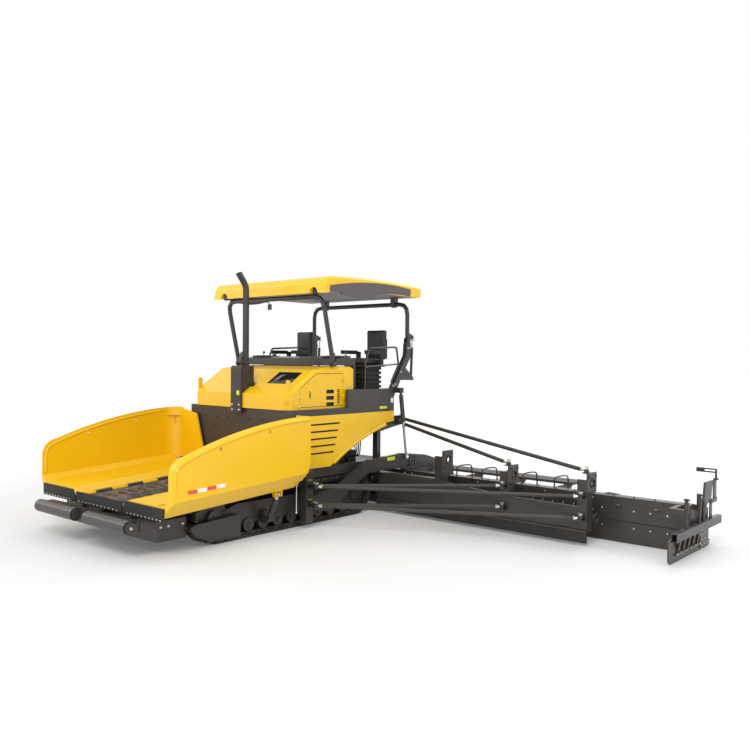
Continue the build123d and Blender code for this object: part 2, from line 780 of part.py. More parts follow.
save("bulkhead", bulkhead())
save("deck", deck())
save("side_skirts", both_sides(side_skirt()))


# Engine and tanks

def engine():
    block = box(-430, 430, -330, 560, 1050, 2080)
    for y in (-200, 400):
        block += box(-(CHASSIS_HALF - CHASSIS_PLATE), CHASSIS_HALF - CHASSIS_PLATE, y, y + 110, 1300, 1360)
    return block


def side_tank():
    """Closed tank between the frame and the side skirt, on the fender."""
    return box(CHASSIS_HALF, BODY_HALF - 90, -380, 560, FENDER_HIGH, 1540)


save("engine", engine())
save("side_tanks", both_sides(side_tank()))


# Hood, its side doors and the exhaust

HOOD_LOW = DECK_HIGH
HOOD_CORNER = 115.0
DOOR_GAP = 8.0
DOOR_UNDER_SLOPE = 75.0
DOOR_HINGE_R = 12.0
DOOR_PIN_R = 6.0
DOOR_HINGE_X = HOOD_HALF + 14.0
DOOR_KNUCKLES = (1920.0, 2190.0)
DOOR_KNUCKLE = 34.0
EXHAUST_HALF = 125.0
EXHAUST_FRONT = -632.0
EXHAUST_REAR = -365.0
EXHAUST_TOP = 2440.0
PIPE_R = 52.0
PIPE_Y = -430.0
PIPE_TOP = 3790.0
FOLD_Y = -545.0
FOLD_Z = 2500.0
FOLD_PIN_R = 16.0
SLOPE_UP = (HOOD_BREAK_Z - HOOD_NOSE) / (HOOD_BREAK_Y - HOOD_FRONT)


def hood_profile(inset):
    """Side view of the hood, drawn in by a wall thickness."""
    low = HOOD_LOW - (inset if inset else 0)
    return [
        (HOOD_FRONT + inset, low),
        (HOOD_FRONT + inset, HOOD_NOSE - inset * 0.7),
        (HOOD_BREAK_Y + inset * 0.3, HOOD_BREAK_Z - inset),
        (HOOD_CREST_Y, HOOD_TOP - inset),
        (HOOD_REAR - 50, HOOD_TOP - inset),
        (HOOD_REAR - inset, HOOD_TOP - 50 - inset * 0.4),
        (HOOD_REAR - inset, low),
    ]


def hood_solid(inset):
    solid = side_plate(hood_profile(inset), -HOOD_HALF + inset, HOOD_HALF - inset)
    uprights = [
        edge
        for edge in solid.edges()
        if abs(edge.center().Y - HOOD_FRONT - inset) < 1 and abs(abs(edge.center().X) - HOOD_HALF + inset) < 1
    ]
    solid = chamfer(uprights, HOOD_CORNER)
    rails = [
        edge
        for edge in solid.edges()
        if abs(abs(edge.center().X) - HOOD_HALF + inset) < 1 and edge.center().Z > 2050 and edge.length > 200
        and abs((edge @ 0).Y - (edge @ 1).Y) > 150
    ]
    return chamfer(rails, 42)


def door_outline(gap):
    """Side view of a hood door, under the hood's slope, drawn in by a gap."""
    slope_corner = HOOD_FRONT + (DOOR_HIGH + DOOR_UNDER_SLOPE - HOOD_NOSE) / SLOPE_UP
    front_top = HOOD_NOSE + (DOOR_FRONT - HOOD_FRONT) * SLOPE_UP - DOOR_UNDER_SLOPE
    return [
        (DOOR_FRONT + gap, DOOR_LOW + gap),
        (DOOR_REAR - gap, DOOR_LOW + gap),
        (DOOR_REAR - gap, DOOR_HIGH - gap),
        (slope_corner + gap, DOOR_HIGH - gap),
        (DOOR_FRONT + gap, front_top - gap),
    ]


def hood():
    """Shell with doorways, a window, lifting ears and the hinges of its doors."""
    shell = hood_solid(0.0) - hood_solid(SHEET)
    doorway = side_plate(door_outline(0), HOOD_HALF - SHEET - 5, HOOD_HALF + 5)
    shell -= doorway + mirrored(doorway)
    window = box(420, 950, -345, -75, 2080, 2460)
    shell -= window
    shell -= box(-150, 190, -435, -330, 2060, 2300)
    shell -= box(-EXHAUST_HALF, EXHAUST_HALF, HOOD_FRONT - 5, EXHAUST_REAR, HOOD_LOW - 5, EXHAUST_TOP)
    for x in (-1, 1):
        ear = side_plate([(-545, 2010), (-470, 2060), (-470, 2215), (-515, 2235), (-545, 2215)], 0, 22)
        shell += Pos(x * 1085 - 11, 0, 0) * ear
    hinge = None
    for low in DOOR_KNUCKLES:
        barrel = rod((DOOR_HINGE_X, DOOR_REAR, low), (DOOR_HINGE_X, DOOR_REAR, low + DOOR_KNUCKLE), DOOR_HINGE_R)
        leaf = box(HOOD_HALF - 1, DOOR_HINGE_X, DOOR_REAR + 2, DOOR_REAR + 28, low, low + DOOR_KNUCKLE)
        pin_top = low + 2 * DOOR_KNUCKLE
        pin = rod((DOOR_HINGE_X, DOOR_REAR, low), (DOOR_HINGE_X, DOOR_REAR, pin_top), DOOR_PIN_R)
        part = barrel + leaf + pin
        hinge = part if hinge is None else hinge + part
    return shell + hinge + mirrored(hinge)


def hood_door():
    """Side door with a latch slot, three short louvres and a tall one."""
    door = side_plate(door_outline(DOOR_GAP), HOOD_HALF - SHEET, HOOD_HALF)
    cuts = [
        # front, rear, low, high
        (-122, -100, 1950, 2060),
        (250, 360, 2035, 2072),
        (250, 360, 1930, 1967),
        (250, 360, 1826, 1863),
        (500, 570, 1830, 2075),
    ]
    for front, rear, low, high in cuts:
        door -= box(HOOD_HALF - SHEET - 1, HOOD_HALF + 1, front, rear, low, high)
    for low in DOOR_KNUCKLES:
        start = low + DOOR_KNUCKLE + 1
        end = low + 2 * DOOR_KNUCKLE
        door += box(HOOD_HALF - 1, DOOR_HINGE_X, DOOR_REAR - 40, DOOR_REAR - 6, start, end)
        door += rod((DOOR_HINGE_X, DOOR_REAR, start), (DOOR_HINGE_X, DOOR_REAR, end), DOOR_HINGE_R)
        door -= rod((DOOR_HINGE_X, DOOR_REAR, start - 1), (DOOR_HINGE_X, DOOR_REAR, end + 1), DOOR_PIN_R + FIT)
    return door


def exhaust_box():
    """Riser before the hood that ends in the fold hinge of the exhaust pipe."""
    outline = [
        (EXHAUST_FRONT, 1690),
        (EXHAUST_FRONT, EXHAUST_TOP - 30),
        (EXHAUST_FRONT + 30, EXHAUST_TOP),
        (EXHAUST_REAR - SEAT_GAP, EXHAUST_TOP),
        (EXHAUST_REAR - SEAT_GAP, HOOD_LOW + SEAT_GAP),
        (DECK_FRONT - SEAT_GAP, HOOD_LOW + SEAT_GAP),
        (DECK_FRONT - SEAT_GAP, 1690),
    ]
    riser = side_plate(outline, -EXHAUST_HALF + SEAT_GAP, EXHAUST_HALF - SEAT_GAP)
    for x0 in (-60, 42):
        ear = box(x0, x0 + 18, FOLD_Y - 26, FOLD_Y + 26, EXHAUST_TOP - 5, FOLD_Z)
        ear += rod((x0, FOLD_Y, FOLD_Z), (x0 + 18, FOLD_Y, FOLD_Z), 26)
        riser += ear
    riser += rod((-66, FOLD_Y, FOLD_Z), (66, FOLD_Y, FOLD_Z), FOLD_PIN_R)
    outlet = (0, PIPE_Y, EXHAUST_TOP - 5)
    riser += rod(outlet, (0, PIPE_Y, EXHAUST_TOP + 26), PIPE_R + 4)
    return riser - rod((0, PIPE_Y, EXHAUST_TOP - 60), (0, PIPE_Y, EXHAUST_TOP + 30), PIPE_R - 8)


def exhaust_pipe():
    """Pipe with a flange and quadrant lug at its foot and a bent, slant-cut mouth."""
    foot = EXHAUST_TOP + 26 + SEAT_GAP
    path = [
        (0, PIPE_Y, foot),
        (0, PIPE_Y, PIPE_TOP - 70),
        (0, PIPE_Y - 170, PIPE_TOP + 150),
    ]
    outer = bent_bar(path, 210, PIPE_R)
    bore = bent_bar(path, 210, PIPE_R - 6)
    flange = rod((0, PIPE_Y, foot), (0, PIPE_Y, foot + 22), PIPE_R + 16)
    lug_outline = [
        (FOLD_Y - 24, FOLD_Z - 10),
        (FOLD_Y - 24, FOLD_Z + 10),
        (FOLD_Y + 30, FOLD_Z + 150),
        (PIPE_Y, FOLD_Z + 190),
        (PIPE_Y, FOLD_Z - 20),
    ]
    lug = side_plate(lug_outline, -34, 34) + rod((-34, FOLD_Y, FOLD_Z), (34, FOLD_Y, FOLD_Z), 26)
    lug -= rod((-40, FOLD_Y, FOLD_Z), (40, FOLD_Y, FOLD_Z), FOLD_PIN_R + FIT)
    whole = outer + flange + lug - bore
    mouth = Pos(0, PIPE_Y - 190, PIPE_TOP + 175) * Rot(28, 0, 0) * Box(300, 300, 120)
    return whole - mouth


save("hood", hood())
save_pair("hood_door", hood_door())
save("exhaust_box", exhaust_box())
save("exhaust_pipe", exhaust_pipe())


# Operator's platform

SEAT_X = 890.0
SEAT_Y = 1500.0
SEAT_FLOOR = DECK_HIGH + 50.0
RAIL_R = 17.0
ARCH_PIN_R = 16.0


def platform():
    """Floor plate, side boxes and the masts' sockets."""
    floor = box(-PLATFORM_HALF, PLATFORM_HALF, PLATFORM_FRONT, PLATFORM_REAR, DECK_HIGH, SEAT_FLOOR)
    side = box(PLATFORM_HALF - 60, PLATFORM_HALF, BOX_FRONT, PLATFORM_REAR, DECK_HIGH, BOX_TOP)
    apron_plate = box(-PLATFORM_HALF, PLATFORM_HALF, PLATFORM_FRONT, PLATFORM_FRONT + 25, DECK_HIGH, BOX_TOP)
    kick = box(-PLATFORM_HALF, PLATFORM_HALF, PLATFORM_REAR - 25, PLATFORM_REAR, DECK_HIGH, SEAT_FLOOR + 90)
    return floor + side + mirrored(side) + apron_plate + kick


def console():
    """Crossbar before the operator, with a sloped desk on two legs."""
    bar = box(-1110, 1110, 372, 500, 2452, 2570)
    desk_outline = [(500, 2460), (500, 2560), (760, 2600), (960, 2560), (960, 2450)]
    desk = side_plate(desk_outline, -1130, 1130)
    shape = bar + desk
    for x in (-1, 1):
        leg = box(920, 1110, PLATFORM_FRONT + 25 + SEAT_GAP, 985, SEAT_FLOOR, 2460)
        shape += leg if x > 0 else mirrored(leg)
        foot = box(1040, 1215, 350, 430, HOOD_TOP, 2446)
        for x0 in (ARCH_X - 46, ARCH_X + 32):
            foot += box(x0, x0 + 14, FRONT_FOOT_Y - 34, FRONT_FOOT_Y + 34, HOOD_TOP, FRONT_FOOT_Z)
            foot += rod((x0, FRONT_FOOT_Y, FRONT_FOOT_Z), (x0 + 14, FRONT_FOOT_Y, FRONT_FOOT_Z), 34)
        foot += rod((ARCH_X - 46, FRONT_FOOT_Y, FRONT_FOOT_Z), (ARCH_X + 46, FRONT_FOOT_Y, FRONT_FOOT_Z), ARCH_PIN_R)
        shape += foot if x > 0 else mirrored(foot)
    return shape


def seat_base():
    """Bellows suspension, pan and armrests of one seat."""
    x, y = SEAT_X, SEAT_Y
    shape = box(x - 190, x + 190, y - 200, y + 190, SEAT_FLOOR, SEAT_FLOOR + 60)
    for index in range(7):
        low = SEAT_FLOOR + 60 + index * 78
        shape += box(x - 165, x + 165, y - 165, y + 160, low, low + 30)
        shape += box(x - 190, x + 190, y - 190, y + 180, low + 30, low + 78)
    top = SEAT_FLOOR + 60 + 7 * 78
    shape += box(x - 230, x + 230, y - 240, y + 230, top, top + 40)
    shape += box(x - 70, x + 70, y + 200, y + 225, top + 30, top + 330)
    for side in (-1, 1):
        arm = box(x + side * 250, x + side * 292, y - 330, y + 120, top + 215, top + 262)
        arm += box(x + side * 228, x + side * 292, y + 60, y + 120, top + 10, top + 262)
        shape += arm
    return shape


def seat_cushion():
    """Cushion and tapered backrest of one seat."""
    x, y = SEAT_X, SEAT_Y
    top = SEAT_FLOOR + 60 + 7 * 78 + 40 + SEAT_GAP
    cushion = box(x - 220, x + 220, y - 250, y + 190, top, top + 110)
    back_low = [
        (x - 225, top + 60),
        (x + 225, top + 60),
        (x + 225, top + 340),
        (x + 165, top + 620),
        (x - 165, top + 620),
        (x - 225, top + 340),
    ]
    back = cross_plate(back_low, y + 225 + SEAT_GAP, y + 335)
    back += box(x - 220, x - 80, y + 185, y + 230, top, top + 200)
    back += box(x + 80, x + 220, y + 185, y + 230, top, top + 200)
    return cushion + back


def handrail():
    """Tube hoop beside a seat on raking struts."""
    x = 1212.0
    hoop = [
        (x, 1110, BOX_TOP + SEAT_GAP),
        (x, 1110, 2500),
        (x, 1220, 2745),
        (x, 1930, 2775),
        (x, 1985, 2470),
        (x, 1800, BOX_TOP + 120),
        (x, 1800, BOX_TOP + SEAT_GAP),
    ]
    shape = bent_bar(hoop, 60, RAIL_R)
    shape += rod((x, 1112, 2430), (x, 1965, 2480), RAIL_R * 0.8)
    return shape


save("platform", platform())
save("console", console())
save("seat_bases", both_sides(seat_base()))
save("seat_cushions", both_sides(seat_cushion()))
save("handrails", both_sides(handrail()))


# Canopy: two tube arches, rear masts, folding rams and the roof

MAST_IN = 1122.0
MAST_OUT = 1208.0
RAM_E_Y = 2435.0
RAM_E_Z = 2960.0
RAM_F_Y = 2400.0
RAM_F_Z = 2216.0
LIFT_X = 1425.0
LIFT_TOP_Y = 1790.0
LIFT_TOP_Z = 2030.0
LIFT_EYE_Y = 1966.0
LIFT_EYE_Z = 880.0


def front_arch():
    points = [
        (ARCH_X, FRONT_FOOT_Y - 14, FRONT_FOOT_Z + 60),
        (ARCH_X, FRONT_TOP_Y, ARCH_TOP_Z),
        (-ARCH_X, FRONT_TOP_Y, ARCH_TOP_Z),
        (-ARCH_X, FRONT_FOOT_Y - 14, FRONT_FOOT_Z + 60),
    ]
    shape = bent_bar(points, 190, ARCH_R)
    for x in (-ARCH_X, ARCH_X):
        shape += rod((x - 25, FRONT_FOOT_Y, FRONT_FOOT_Z), (x + 25, FRONT_FOOT_Y, FRONT_FOOT_Z), 36)
        shape += box(x - 25, x + 25, FRONT_FOOT_Y - 42, FRONT_FOOT_Y + 10, FRONT_FOOT_Z, FRONT_FOOT_Z + 75)
        shape -= rod((x - 60, FRONT_FOOT_Y, FRONT_FOOT_Z), (x + 60, FRONT_FOOT_Y, FRONT_FOOT_Z), ARCH_PIN_R + FIT)
    return shape


def rear_arch():
    points = [
        (ARCH_X, REAR_ARCH_Y, REAR_JOINT_Z + 60),
        (ARCH_X, REAR_ARCH_Y, ARCH_TOP_Z),
        (-ARCH_X, REAR_ARCH_Y, ARCH_TOP_Z),
        (-ARCH_X, REAR_ARCH_Y, REAR_JOINT_Z + 60),
    ]
    shape = bent_bar(points, 190, ARCH_R)
    for side in (-1, 1):
        x = side * ARCH_X
        shape += rod((x - 21, REAR_ARCH_Y, REAR_JOINT_Z), (x + 21, REAR_ARCH_Y, REAR_JOINT_Z), 42)
        shape += box(x - 21, x + 21, REAR_ARCH_Y - 28, REAR_ARCH_Y + 28, REAR_JOINT_Z, REAR_JOINT_Z + 75)
        lever_outline = [
            (REAR_ARCH_Y, REAR_JOINT_Z - 20),
            (RAM_E_Y + 26, RAM_E_Z - 18),
            (RAM_E_Y + 26, RAM_E_Z + 22),
            (REAR_ARCH_Y, REAR_JOINT_Z + 140),
        ]
        lever = side_plate(lever_outline, x - 14, x + 14)
        shape += lever
        shape -= rod((x - 60, REAR_ARCH_Y, REAR_JOINT_Z), (x + 60, REAR_ARCH_Y, REAR_JOINT_Z), ARCH_PIN_R + FIT)
    return shape


def mast():
    """Raking plate post with the rear arch's fork and the feet of two rams."""
    outline = [
        (1700, SEAT_FLOOR),
        (PLATFORM_REAR - 25, SEAT_FLOOR),
        (PLATFORM_REAR - 25, SEAT_FLOOR + 90),
        (1880, SEAT_FLOOR + 90),
        (2110, 2290),
        (2330, 2600),
        (2340, 2850),
        (2230, 2850),
        (2215, 2640),
        (1990, 2300),
        (1760, 1960),
    ]
    post = side_plate(outline, MAST_IN, MAST_OUT)
    post -= box(PLATFORM_HALF - 60 - SEAT_GAP, MAST_OUT + 1, 1600, 1850, 1700, BOX_TOP + SEAT_GAP)
    for x0 in (ARCH_X - 43, ARCH_X + 27):
        ear = box(x0, x0 + 16, REAR_ARCH_Y - 42, REAR_ARCH_Y + 42, 2840, REAR_JOINT_Z)
        ear += rod((x0, REAR_ARCH_Y, REAR_JOINT_Z), (x0 + 16, REAR_ARCH_Y, REAR_JOINT_Z), 42)
        post += ear
    post += rod(
        (ARCH_X - 43, REAR_ARCH_Y, REAR_JOINT_Z),
        (ARCH_X + 43, REAR_ARCH_Y, REAR_JOINT_Z),
        ARCH_PIN_R,
    )
    arm_outline = [(2050, 2200), (RAM_F_Y + 24, RAM_F_Z - 24), (RAM_F_Y + 24, RAM_F_Z + 24), (2200, 2410)]
    for x0 in (ARCH_X - 43, ARCH_X + 25):
        post += side_plate(arm_outline, x0, x0 + 18)
    post += rod((ARCH_X - 43, RAM_F_Y, RAM_F_Z), (ARCH_X + 43, RAM_F_Y, RAM_F_Z), 12)
    lug_in = LIFT_X - 42
    lug_out = LIFT_X - 24
    bracket = box(MAST_OUT - 10, lug_out, 1845, 1905, LIFT_TOP_Z - 45, LIFT_TOP_Z + 45)
    bracket += box(lug_in, lug_out, LIFT_TOP_Y, 1905, LIFT_TOP_Z - 30, LIFT_TOP_Z + 45)
    bracket += rod((lug_in, LIFT_TOP_Y, LIFT_TOP_Z), (lug_out, LIFT_TOP_Y, LIFT_TOP_Z), 45)
    bracket += rod((lug_in, LIFT_TOP_Y, LIFT_TOP_Z), (LIFT_X + 30, LIFT_TOP_Y, LIFT_TOP_Z), 16)
    return post + bracket


def canopy_ram_barrel():
    way = Vector(0, RAM_E_Y - RAM_F_Y, RAM_E_Z - RAM_F_Z).normalized()
    foot = Vector(ARCH_X, RAM_F_Y, RAM_F_Z)
    top = foot + way * 560
    start = foot + way * 10
    shape = rod((start.X, start.Y, start.Z), (top.X, top.Y, top.Z), 24)
    shape += rod((ARCH_X - 22, RAM_F_Y, RAM_F_Z), (ARCH_X + 22, RAM_F_Y, RAM_F_Z), 24)
    inner = foot + way * 60
    shape -= rod((inner.X, inner.Y, inner.Z), (top.X, top.Y, top.Z + 1), 13 + FIT)
    return shape - rod((ARCH_X - 40, RAM_F_Y, RAM_F_Z), (ARCH_X + 40, RAM_F_Y, RAM_F_Z), 12 + FIT)


def canopy_ram_rod():
    way = Vector(0, RAM_E_Y - RAM_F_Y, RAM_E_Z - RAM_F_Z).normalized()
    foot = Vector(ARCH_X, RAM_F_Y, RAM_F_Z)
    start = foot + way * 165
    end = foot + way * 690
    shape = rod((start.X, start.Y, start.Z), (end.X, end.Y, end.Z), 13)
    shape += box(ARCH_X - 34, ARCH_X + 34, RAM_E_Y - 20, RAM_E_Y + 20, RAM_E_Z - 62, RAM_E_Z - 44)
    for x in (ARCH_X - 34, ARCH_X + 22):
        shape += box(x, x + 12, RAM_E_Y - 20, RAM_E_Y + 20, RAM_E_Z - 62, RAM_E_Z)
        shape += rod((x, RAM_E_Y, RAM_E_Z), (x + 12, RAM_E_Y, RAM_E_Z), 20)
    return shape


def roof_profile(inset):
    """Side view of the roof shell, drawn in by a wall thickness."""
    low = ROOF_LOW - (30 if inset else 0)
    edges = [
        Line((0, ROOF_FRONT + inset, low), (0, ROOF_FRONT + inset, 3735 - inset)),
        ThreePointArc(
            (0, ROOF_FRONT + inset, 3735 - inset),
            (0, 50 + inset * 0.8, 3812 - inset),
            (0, 150 + inset * 0.4, 3850 - inset),
        ),
        ThreePointArc(
            (0, 150 + inset * 0.4, 3850 - inset),
            (0, 1050, ROOF_TOP - inset),
            (0, ROOF_REAR - inset, ROOF_REAR_TOP - inset),
        ),
        Line((0, ROOF_REAR - inset, ROOF_REAR_TOP - inset), (0, ROOF_REAR - inset, low)),
        Line((0, ROOF_REAR - inset, low), (0, ROOF_FRONT + inset, low)),
    ]
    return make_face(Wire(edges))


def roof():
    """Arched shell with half-round lamp notches in its front lip, and the arch mounts below."""
    skin = Pos(-ROOF_HALF, 0, 0) * extrude(roof_profile(0), amount=2 * ROOF_HALF, dir=(1, 0, 0))
    rails = [
        edge
        for edge in skin.edges()
        if abs(abs(edge.center().X) - ROOF_HALF) < 1 and edge.center().Z > 3790
    ]
    skin = fillet(rails, 45)
    wall = 34.0
    hollow = Pos(-ROOF_HALF + wall, 0, 0) * extrude(
        roof_profile(wall), amount=2 * (ROOF_HALF - wall), dir=(1, 0, 0)
    )
    shell = skin - hollow
    lip = box(-ROOF_HALF, ROOF_HALF, ROOF_FRONT, ROOF_FRONT + 90, ROOF_LOW - 65, ROOF_LOW + 5)
    shell += lip
    for x in (-1100, 1100):
        shell -= rod((x, ROOF_FRONT - 5, ROOF_LOW - 62), (x, ROOF_FRONT + 95, ROOF_LOW - 62), 88)
    return shell


def roof_liner():
    """Dark underside, side panels with a bowed lower edge, and mounts on both arches."""
    liner = box(-1320, 1320, ROOF_FRONT + 95, ROOF_REAR - 45, ROOF_LOW, ROOF_LOW + 28)
    edges = [
        Line((0, 95, 3700), (0, 100, 3640)),
        Line((0, 100, 3640), (0, 330, 3600)),
        ThreePointArc((0, 330, 3600), (0, 790, 3545), (0, 1250, 3630)),
        ThreePointArc((0, 1250, 3630), (0, 1650, 3668), (0, 2080, 3658)),
        Line((0, 2080, 3658), (0, 2100, 3778)),
        ThreePointArc((0, 2100, 3778), (0, 900, 3800), (0, 95, 3700)),
    ]
    panel = extrude(make_face(Wire(edges)), amount=16, dir=(1, 0, 0))
    panel = Pos(ROOF_HALF + SEAT_GAP, 0, 0) * panel
    shelf = box(1280, ROOF_HALF + 8, 420, 1080, 3590, ROOF_LOW - SEAT_GAP)
    panel += shelf
    shape = liner
    for x in (-860, 860):
        block = box(x - 45, x + 45, REAR_ARCH_Y - 55, REAR_ARCH_Y + 55, ARCH_TOP_Z, ROOF_LOW + 2)
        block += rod((x - 45, REAR_ARCH_Y, ARCH_TOP_Z), (x + 45, REAR_ARCH_Y, ARCH_TOP_Z), 55)
        block -= rod((x - 60, REAR_ARCH_Y, ARCH_TOP_Z), (x + 60, REAR_ARCH_Y, ARCH_TOP_Z), ARCH_R + FIT)
        shape += block
        shape += box(x - 45, x + 45, FRONT_TOP_Y - 42, FRONT_TOP_Y + 60, ARCH_TOP_Z + ARCH_R + 20, ROOF_LOW + 2)
    return [shape, panel, mirrored(panel)]


save("front_arch", front_arch())
save("rear_arch", rear_arch())
save("masts", both_sides(mast()))
save("canopy_ram_barrels", both_sides(canopy_ram_barrel()))
save("canopy_ram_rods", both_sides(canopy_ram_rod()))
save("roof", roof())
save("roof_liner", roof_liner())


# Auger tunnel: hanging frame, brackets, limiting plates, tie rods and augers

BRACKETS = [
    # outer face x, top height
    (2600.0, 1120.0),
    (3800.0, 1000.0),
    (5050.0, 1010.0),
]
BRACKET_THICK = 30.0
BEAM_LOW = 572.0
BEAM_HIGH = 660.0
POST_IN = 1080.0
POST_OUT = 1180.0
GEARBOX_HALF = 105.0
TIE_R = 26.0
STAY_R = 19.0
TIE_REAR_Y = 1353.0
TIE_EYE_R = 34.0
STAY_EYES = [
    # y, height
    (2045.0, 1540.0),
    (2020.0, 1462.0),
]


def bracket(x, top):
    """Hanging plate with a round eye in its head, a front channel and the auger's bearing."""
    outline = [
        (LIMIT_Y, 200),
        (1560, 200),
        (1560, 300),
        (AUGER_Y + 70, 300),
        (AUGER_Y + 70, 400),
        (1560, 400),
        (1560, 700),
        (1690, 740),
        (1690, top),
        (LIMIT_Y, top),
    ]
    plate = side_plate(outline, x - BRACKET_THICK, x)
    plate -= rod((x - 60, 1575, top - 150), (x + 5, 1575, top - 150), 78)
    plate -= rod((x - 60, AUGER_Y, AUGER_Z), (x + 5, AUGER_Y, AUGER_Z), AUGER_SHAFT_R + FIT)
    front = box(x - 150, x, LIMIT_Y - 32, LIMIT_Y, 200, top - 90)
    return plate + front


def auger_frame():
    """Posts and crossbeam behind the tracks, the middle gearbox and the outer brackets."""
    beam = box(0, BRACKETS[0][0], LIMIT_Y + LIMIT_THICK, 1560, BEAM_LOW, BEAM_HIGH)
    post = box(POST_IN, POST_OUT, 1470, 1560, BEAM_LOW, DECK_LOW - SEAT_GAP)
    tie = box(CHASSIS_HALF - 80, CHASSIS_HALF, CHASSIS_REAR + SEAT_GAP, 1470, BEAM_LOW, BEAM_HIGH)
    half = beam + post + tie
    for x, top in BRACKETS:
        half += bracket(x, top)
    for (x, top), z in zip(BRACKETS[1:], (705, 695)):
        for height in (z, 392):
            half += eye_fork(x - 130, x - 20, TIE_REAR_Y - 43, LIMIT_Y - 32, height)
        half += box(x - 120, x, 1480, 1600, top - 16, top)
    for y, z in STAY_EYES:
        half += eye_fork(POST_OUT, POST_OUT + 80, y - 40, y + 40, z)
    stay_arm_outline = [(1555, 1330), (2080, 1415), (2080, 1580), (1555, 1580)]
    half += side_plate(stay_arm_outline, POST_OUT - 30, POST_OUT)
    case = box(-GEARBOX_HALF, GEARBOX_HALF, 1585, 1795, 180, 560)
    case += box(-GEARBOX_HALF, GEARBOX_HALF, 1500, 1700, 500, BEAM_HIGH)
    shape = half + mirrored(half) + case
    return shape - rod((-130, AUGER_Y, AUGER_Z), (130, AUGER_Y, AUGER_Z), AUGER_SHAFT_R + FIT)


def limiting_plates():
    """Front wall of the auger tunnel, one side, stepping down outside the second bracket."""
    outline = [
        (TRACK_OUTER + 60, 205),
        (BRACKETS[-1][0] - 150, 205),
        (BRACKETS[-1][0] - 150, 545),
        (BRACKETS[1][0], 555),
        (BRACKETS[0][0], 640),
        (TRACK_OUTER + 60, 655),
    ]
    plate = cross_plate(outline, LIMIT_Y - 32, LIMIT_Y - 6)
    for x, top in BRACKETS:
        plate -= box(x - 150 - SEAT_GAP, x + SEAT_GAP, LIMIT_Y - 60, LIMIT_Y + 10, 100, 1200)
    return plate


def rubber_skirt():
    return box(TRACK_OUTER + 60, BRACKETS[-1][0] + 4, LIMIT_Y - 56, LIMIT_Y - 32 - SEAT_GAP, 48, 232)


def tie_rod(start, end, radius):
    """Bar with thinner threaded ends and an upright eye at both ends."""
    way = (Vector(*end) - Vector(*start)).normalized()
    near = Vector(*start) + way * 95
    far = Vector(*end) - way * 95
    shape = bar(start, end, radius * 0.7, 8)
    shape += bar((near.X, near.Y, near.Z), (far.X, far.Y, far.Z), radius)
    for x, y, z in (start, end):
        shape += bar((x, y, z - EYE_HALF), (x, y, z + EYE_HALF), TIE_EYE_R)
    return shape


def tie_rods():
    """Four pushing rods and two top stays of one side."""
    near_x = BRACKETS[1][0] - 75
    far_x = BRACKETS[2][0] - 75
    routes = [
        # start, end, radius
        ((1480, -330, TIE_HIGH), (near_x, TIE_REAR_Y, 705), TIE_R),
        ((1560, -365, TIE_HIGH), (far_x, TIE_REAR_Y, 695), TIE_R),
        ((1480, -330, TIE_LOW), (near_x, TIE_REAR_Y, 392), TIE_R),
        ((1560, -365, TIE_LOW), (far_x, TIE_REAR_Y, 392), TIE_R),
        ((1225, *STAY_EYES[0]), (far_x, 1530, BRACKETS[2][1] + EYE_HALF + SEAT_GAP), STAY_R),
        ((1225, *STAY_EYES[1]), (near_x, 1530, BRACKETS[1][1] + EYE_HALF + SEAT_GAP), STAY_R),
    ]
    return [tie_rod(start, end, radius) for start, end, radius in routes]


def auger():
    """One side's screw: a shaft with slanted flights, left clear at the bearings."""
    start = GEARBOX_HALF - 60
    shape = bar((start, AUGER_Y, AUGER_Z), (AUGER_END, AUGER_Y, AUGER_Z), AUGER_SHAFT_R)
    lean = degrees(AUGER_PITCH / (2 * pi * AUGER_R * 0.75))
    x = GEARBOX_HALF + 150
    while x < AUGER_END - 60:
        if all(abs(x - place + BRACKET_THICK / 2) > 110 for place, top in BRACKETS):
            disc = extrude(RegularPolygon(AUGER_R - 8, FLIGHT_SIDES), amount=FLIGHT_THICK / 2, both=True)
            shape += Pos(x, AUGER_Y, AUGER_Z) * Rot(0, 0, lean) * Rot(0, 90, 0) * disc
        x += AUGER_PITCH / 2
    return shape


bars = tie_rods()
save("auger_frame", auger_frame())
save("limiting_plates", both_sides(limiting_plates()))
save("rubber_skirts", both_sides(rubber_skirt()))
save("tie_rods", bars + [mirrored(bar) for bar in bars])
save_pair("auger", auger())


# Tow sliders and arms, lift rams, screed with its extensions, walkway and end gates

SLIDER_LOW = 240.0
SLIDER_HIGH = 420.0
TOW_PIN_R = 22.0
MOVE_GAP = 5.0
LIFT_PIN_R = 16.0
LIFT_BARREL_R = 38.0
LIFT_ROD_R = 24.0
LIFT_ROD_START = 475.0
JOINT_PLATE_Y = 2180.0
SOLE_REAR = 2760.0
SCREED_BACK = 2690.0
SCREED_WALL = 36.0
SOLE_THICK = 34.0
RIB_HALF = 14.0
WALKWAY_ARMS = [480.0 + 860.0 * index for index in range(5)]
WALKWAY_END = 4050.0
WALKWAY_LOW = 560.0
GATE_IN = PAVING_HALF + 6
GATE_OUT = PAVING_HALF + 24
SPINDLE_Y = (1640.0, 2135.0)
SPINDLE_X = PAVING_HALF + 62
SPINDLE_R = 17.0
SPINDLE_TUBE_TOP = SCREED_HIGH + 95.0
BEAM_FRONT = 1215.0
BEAM_REAR = 2960.0


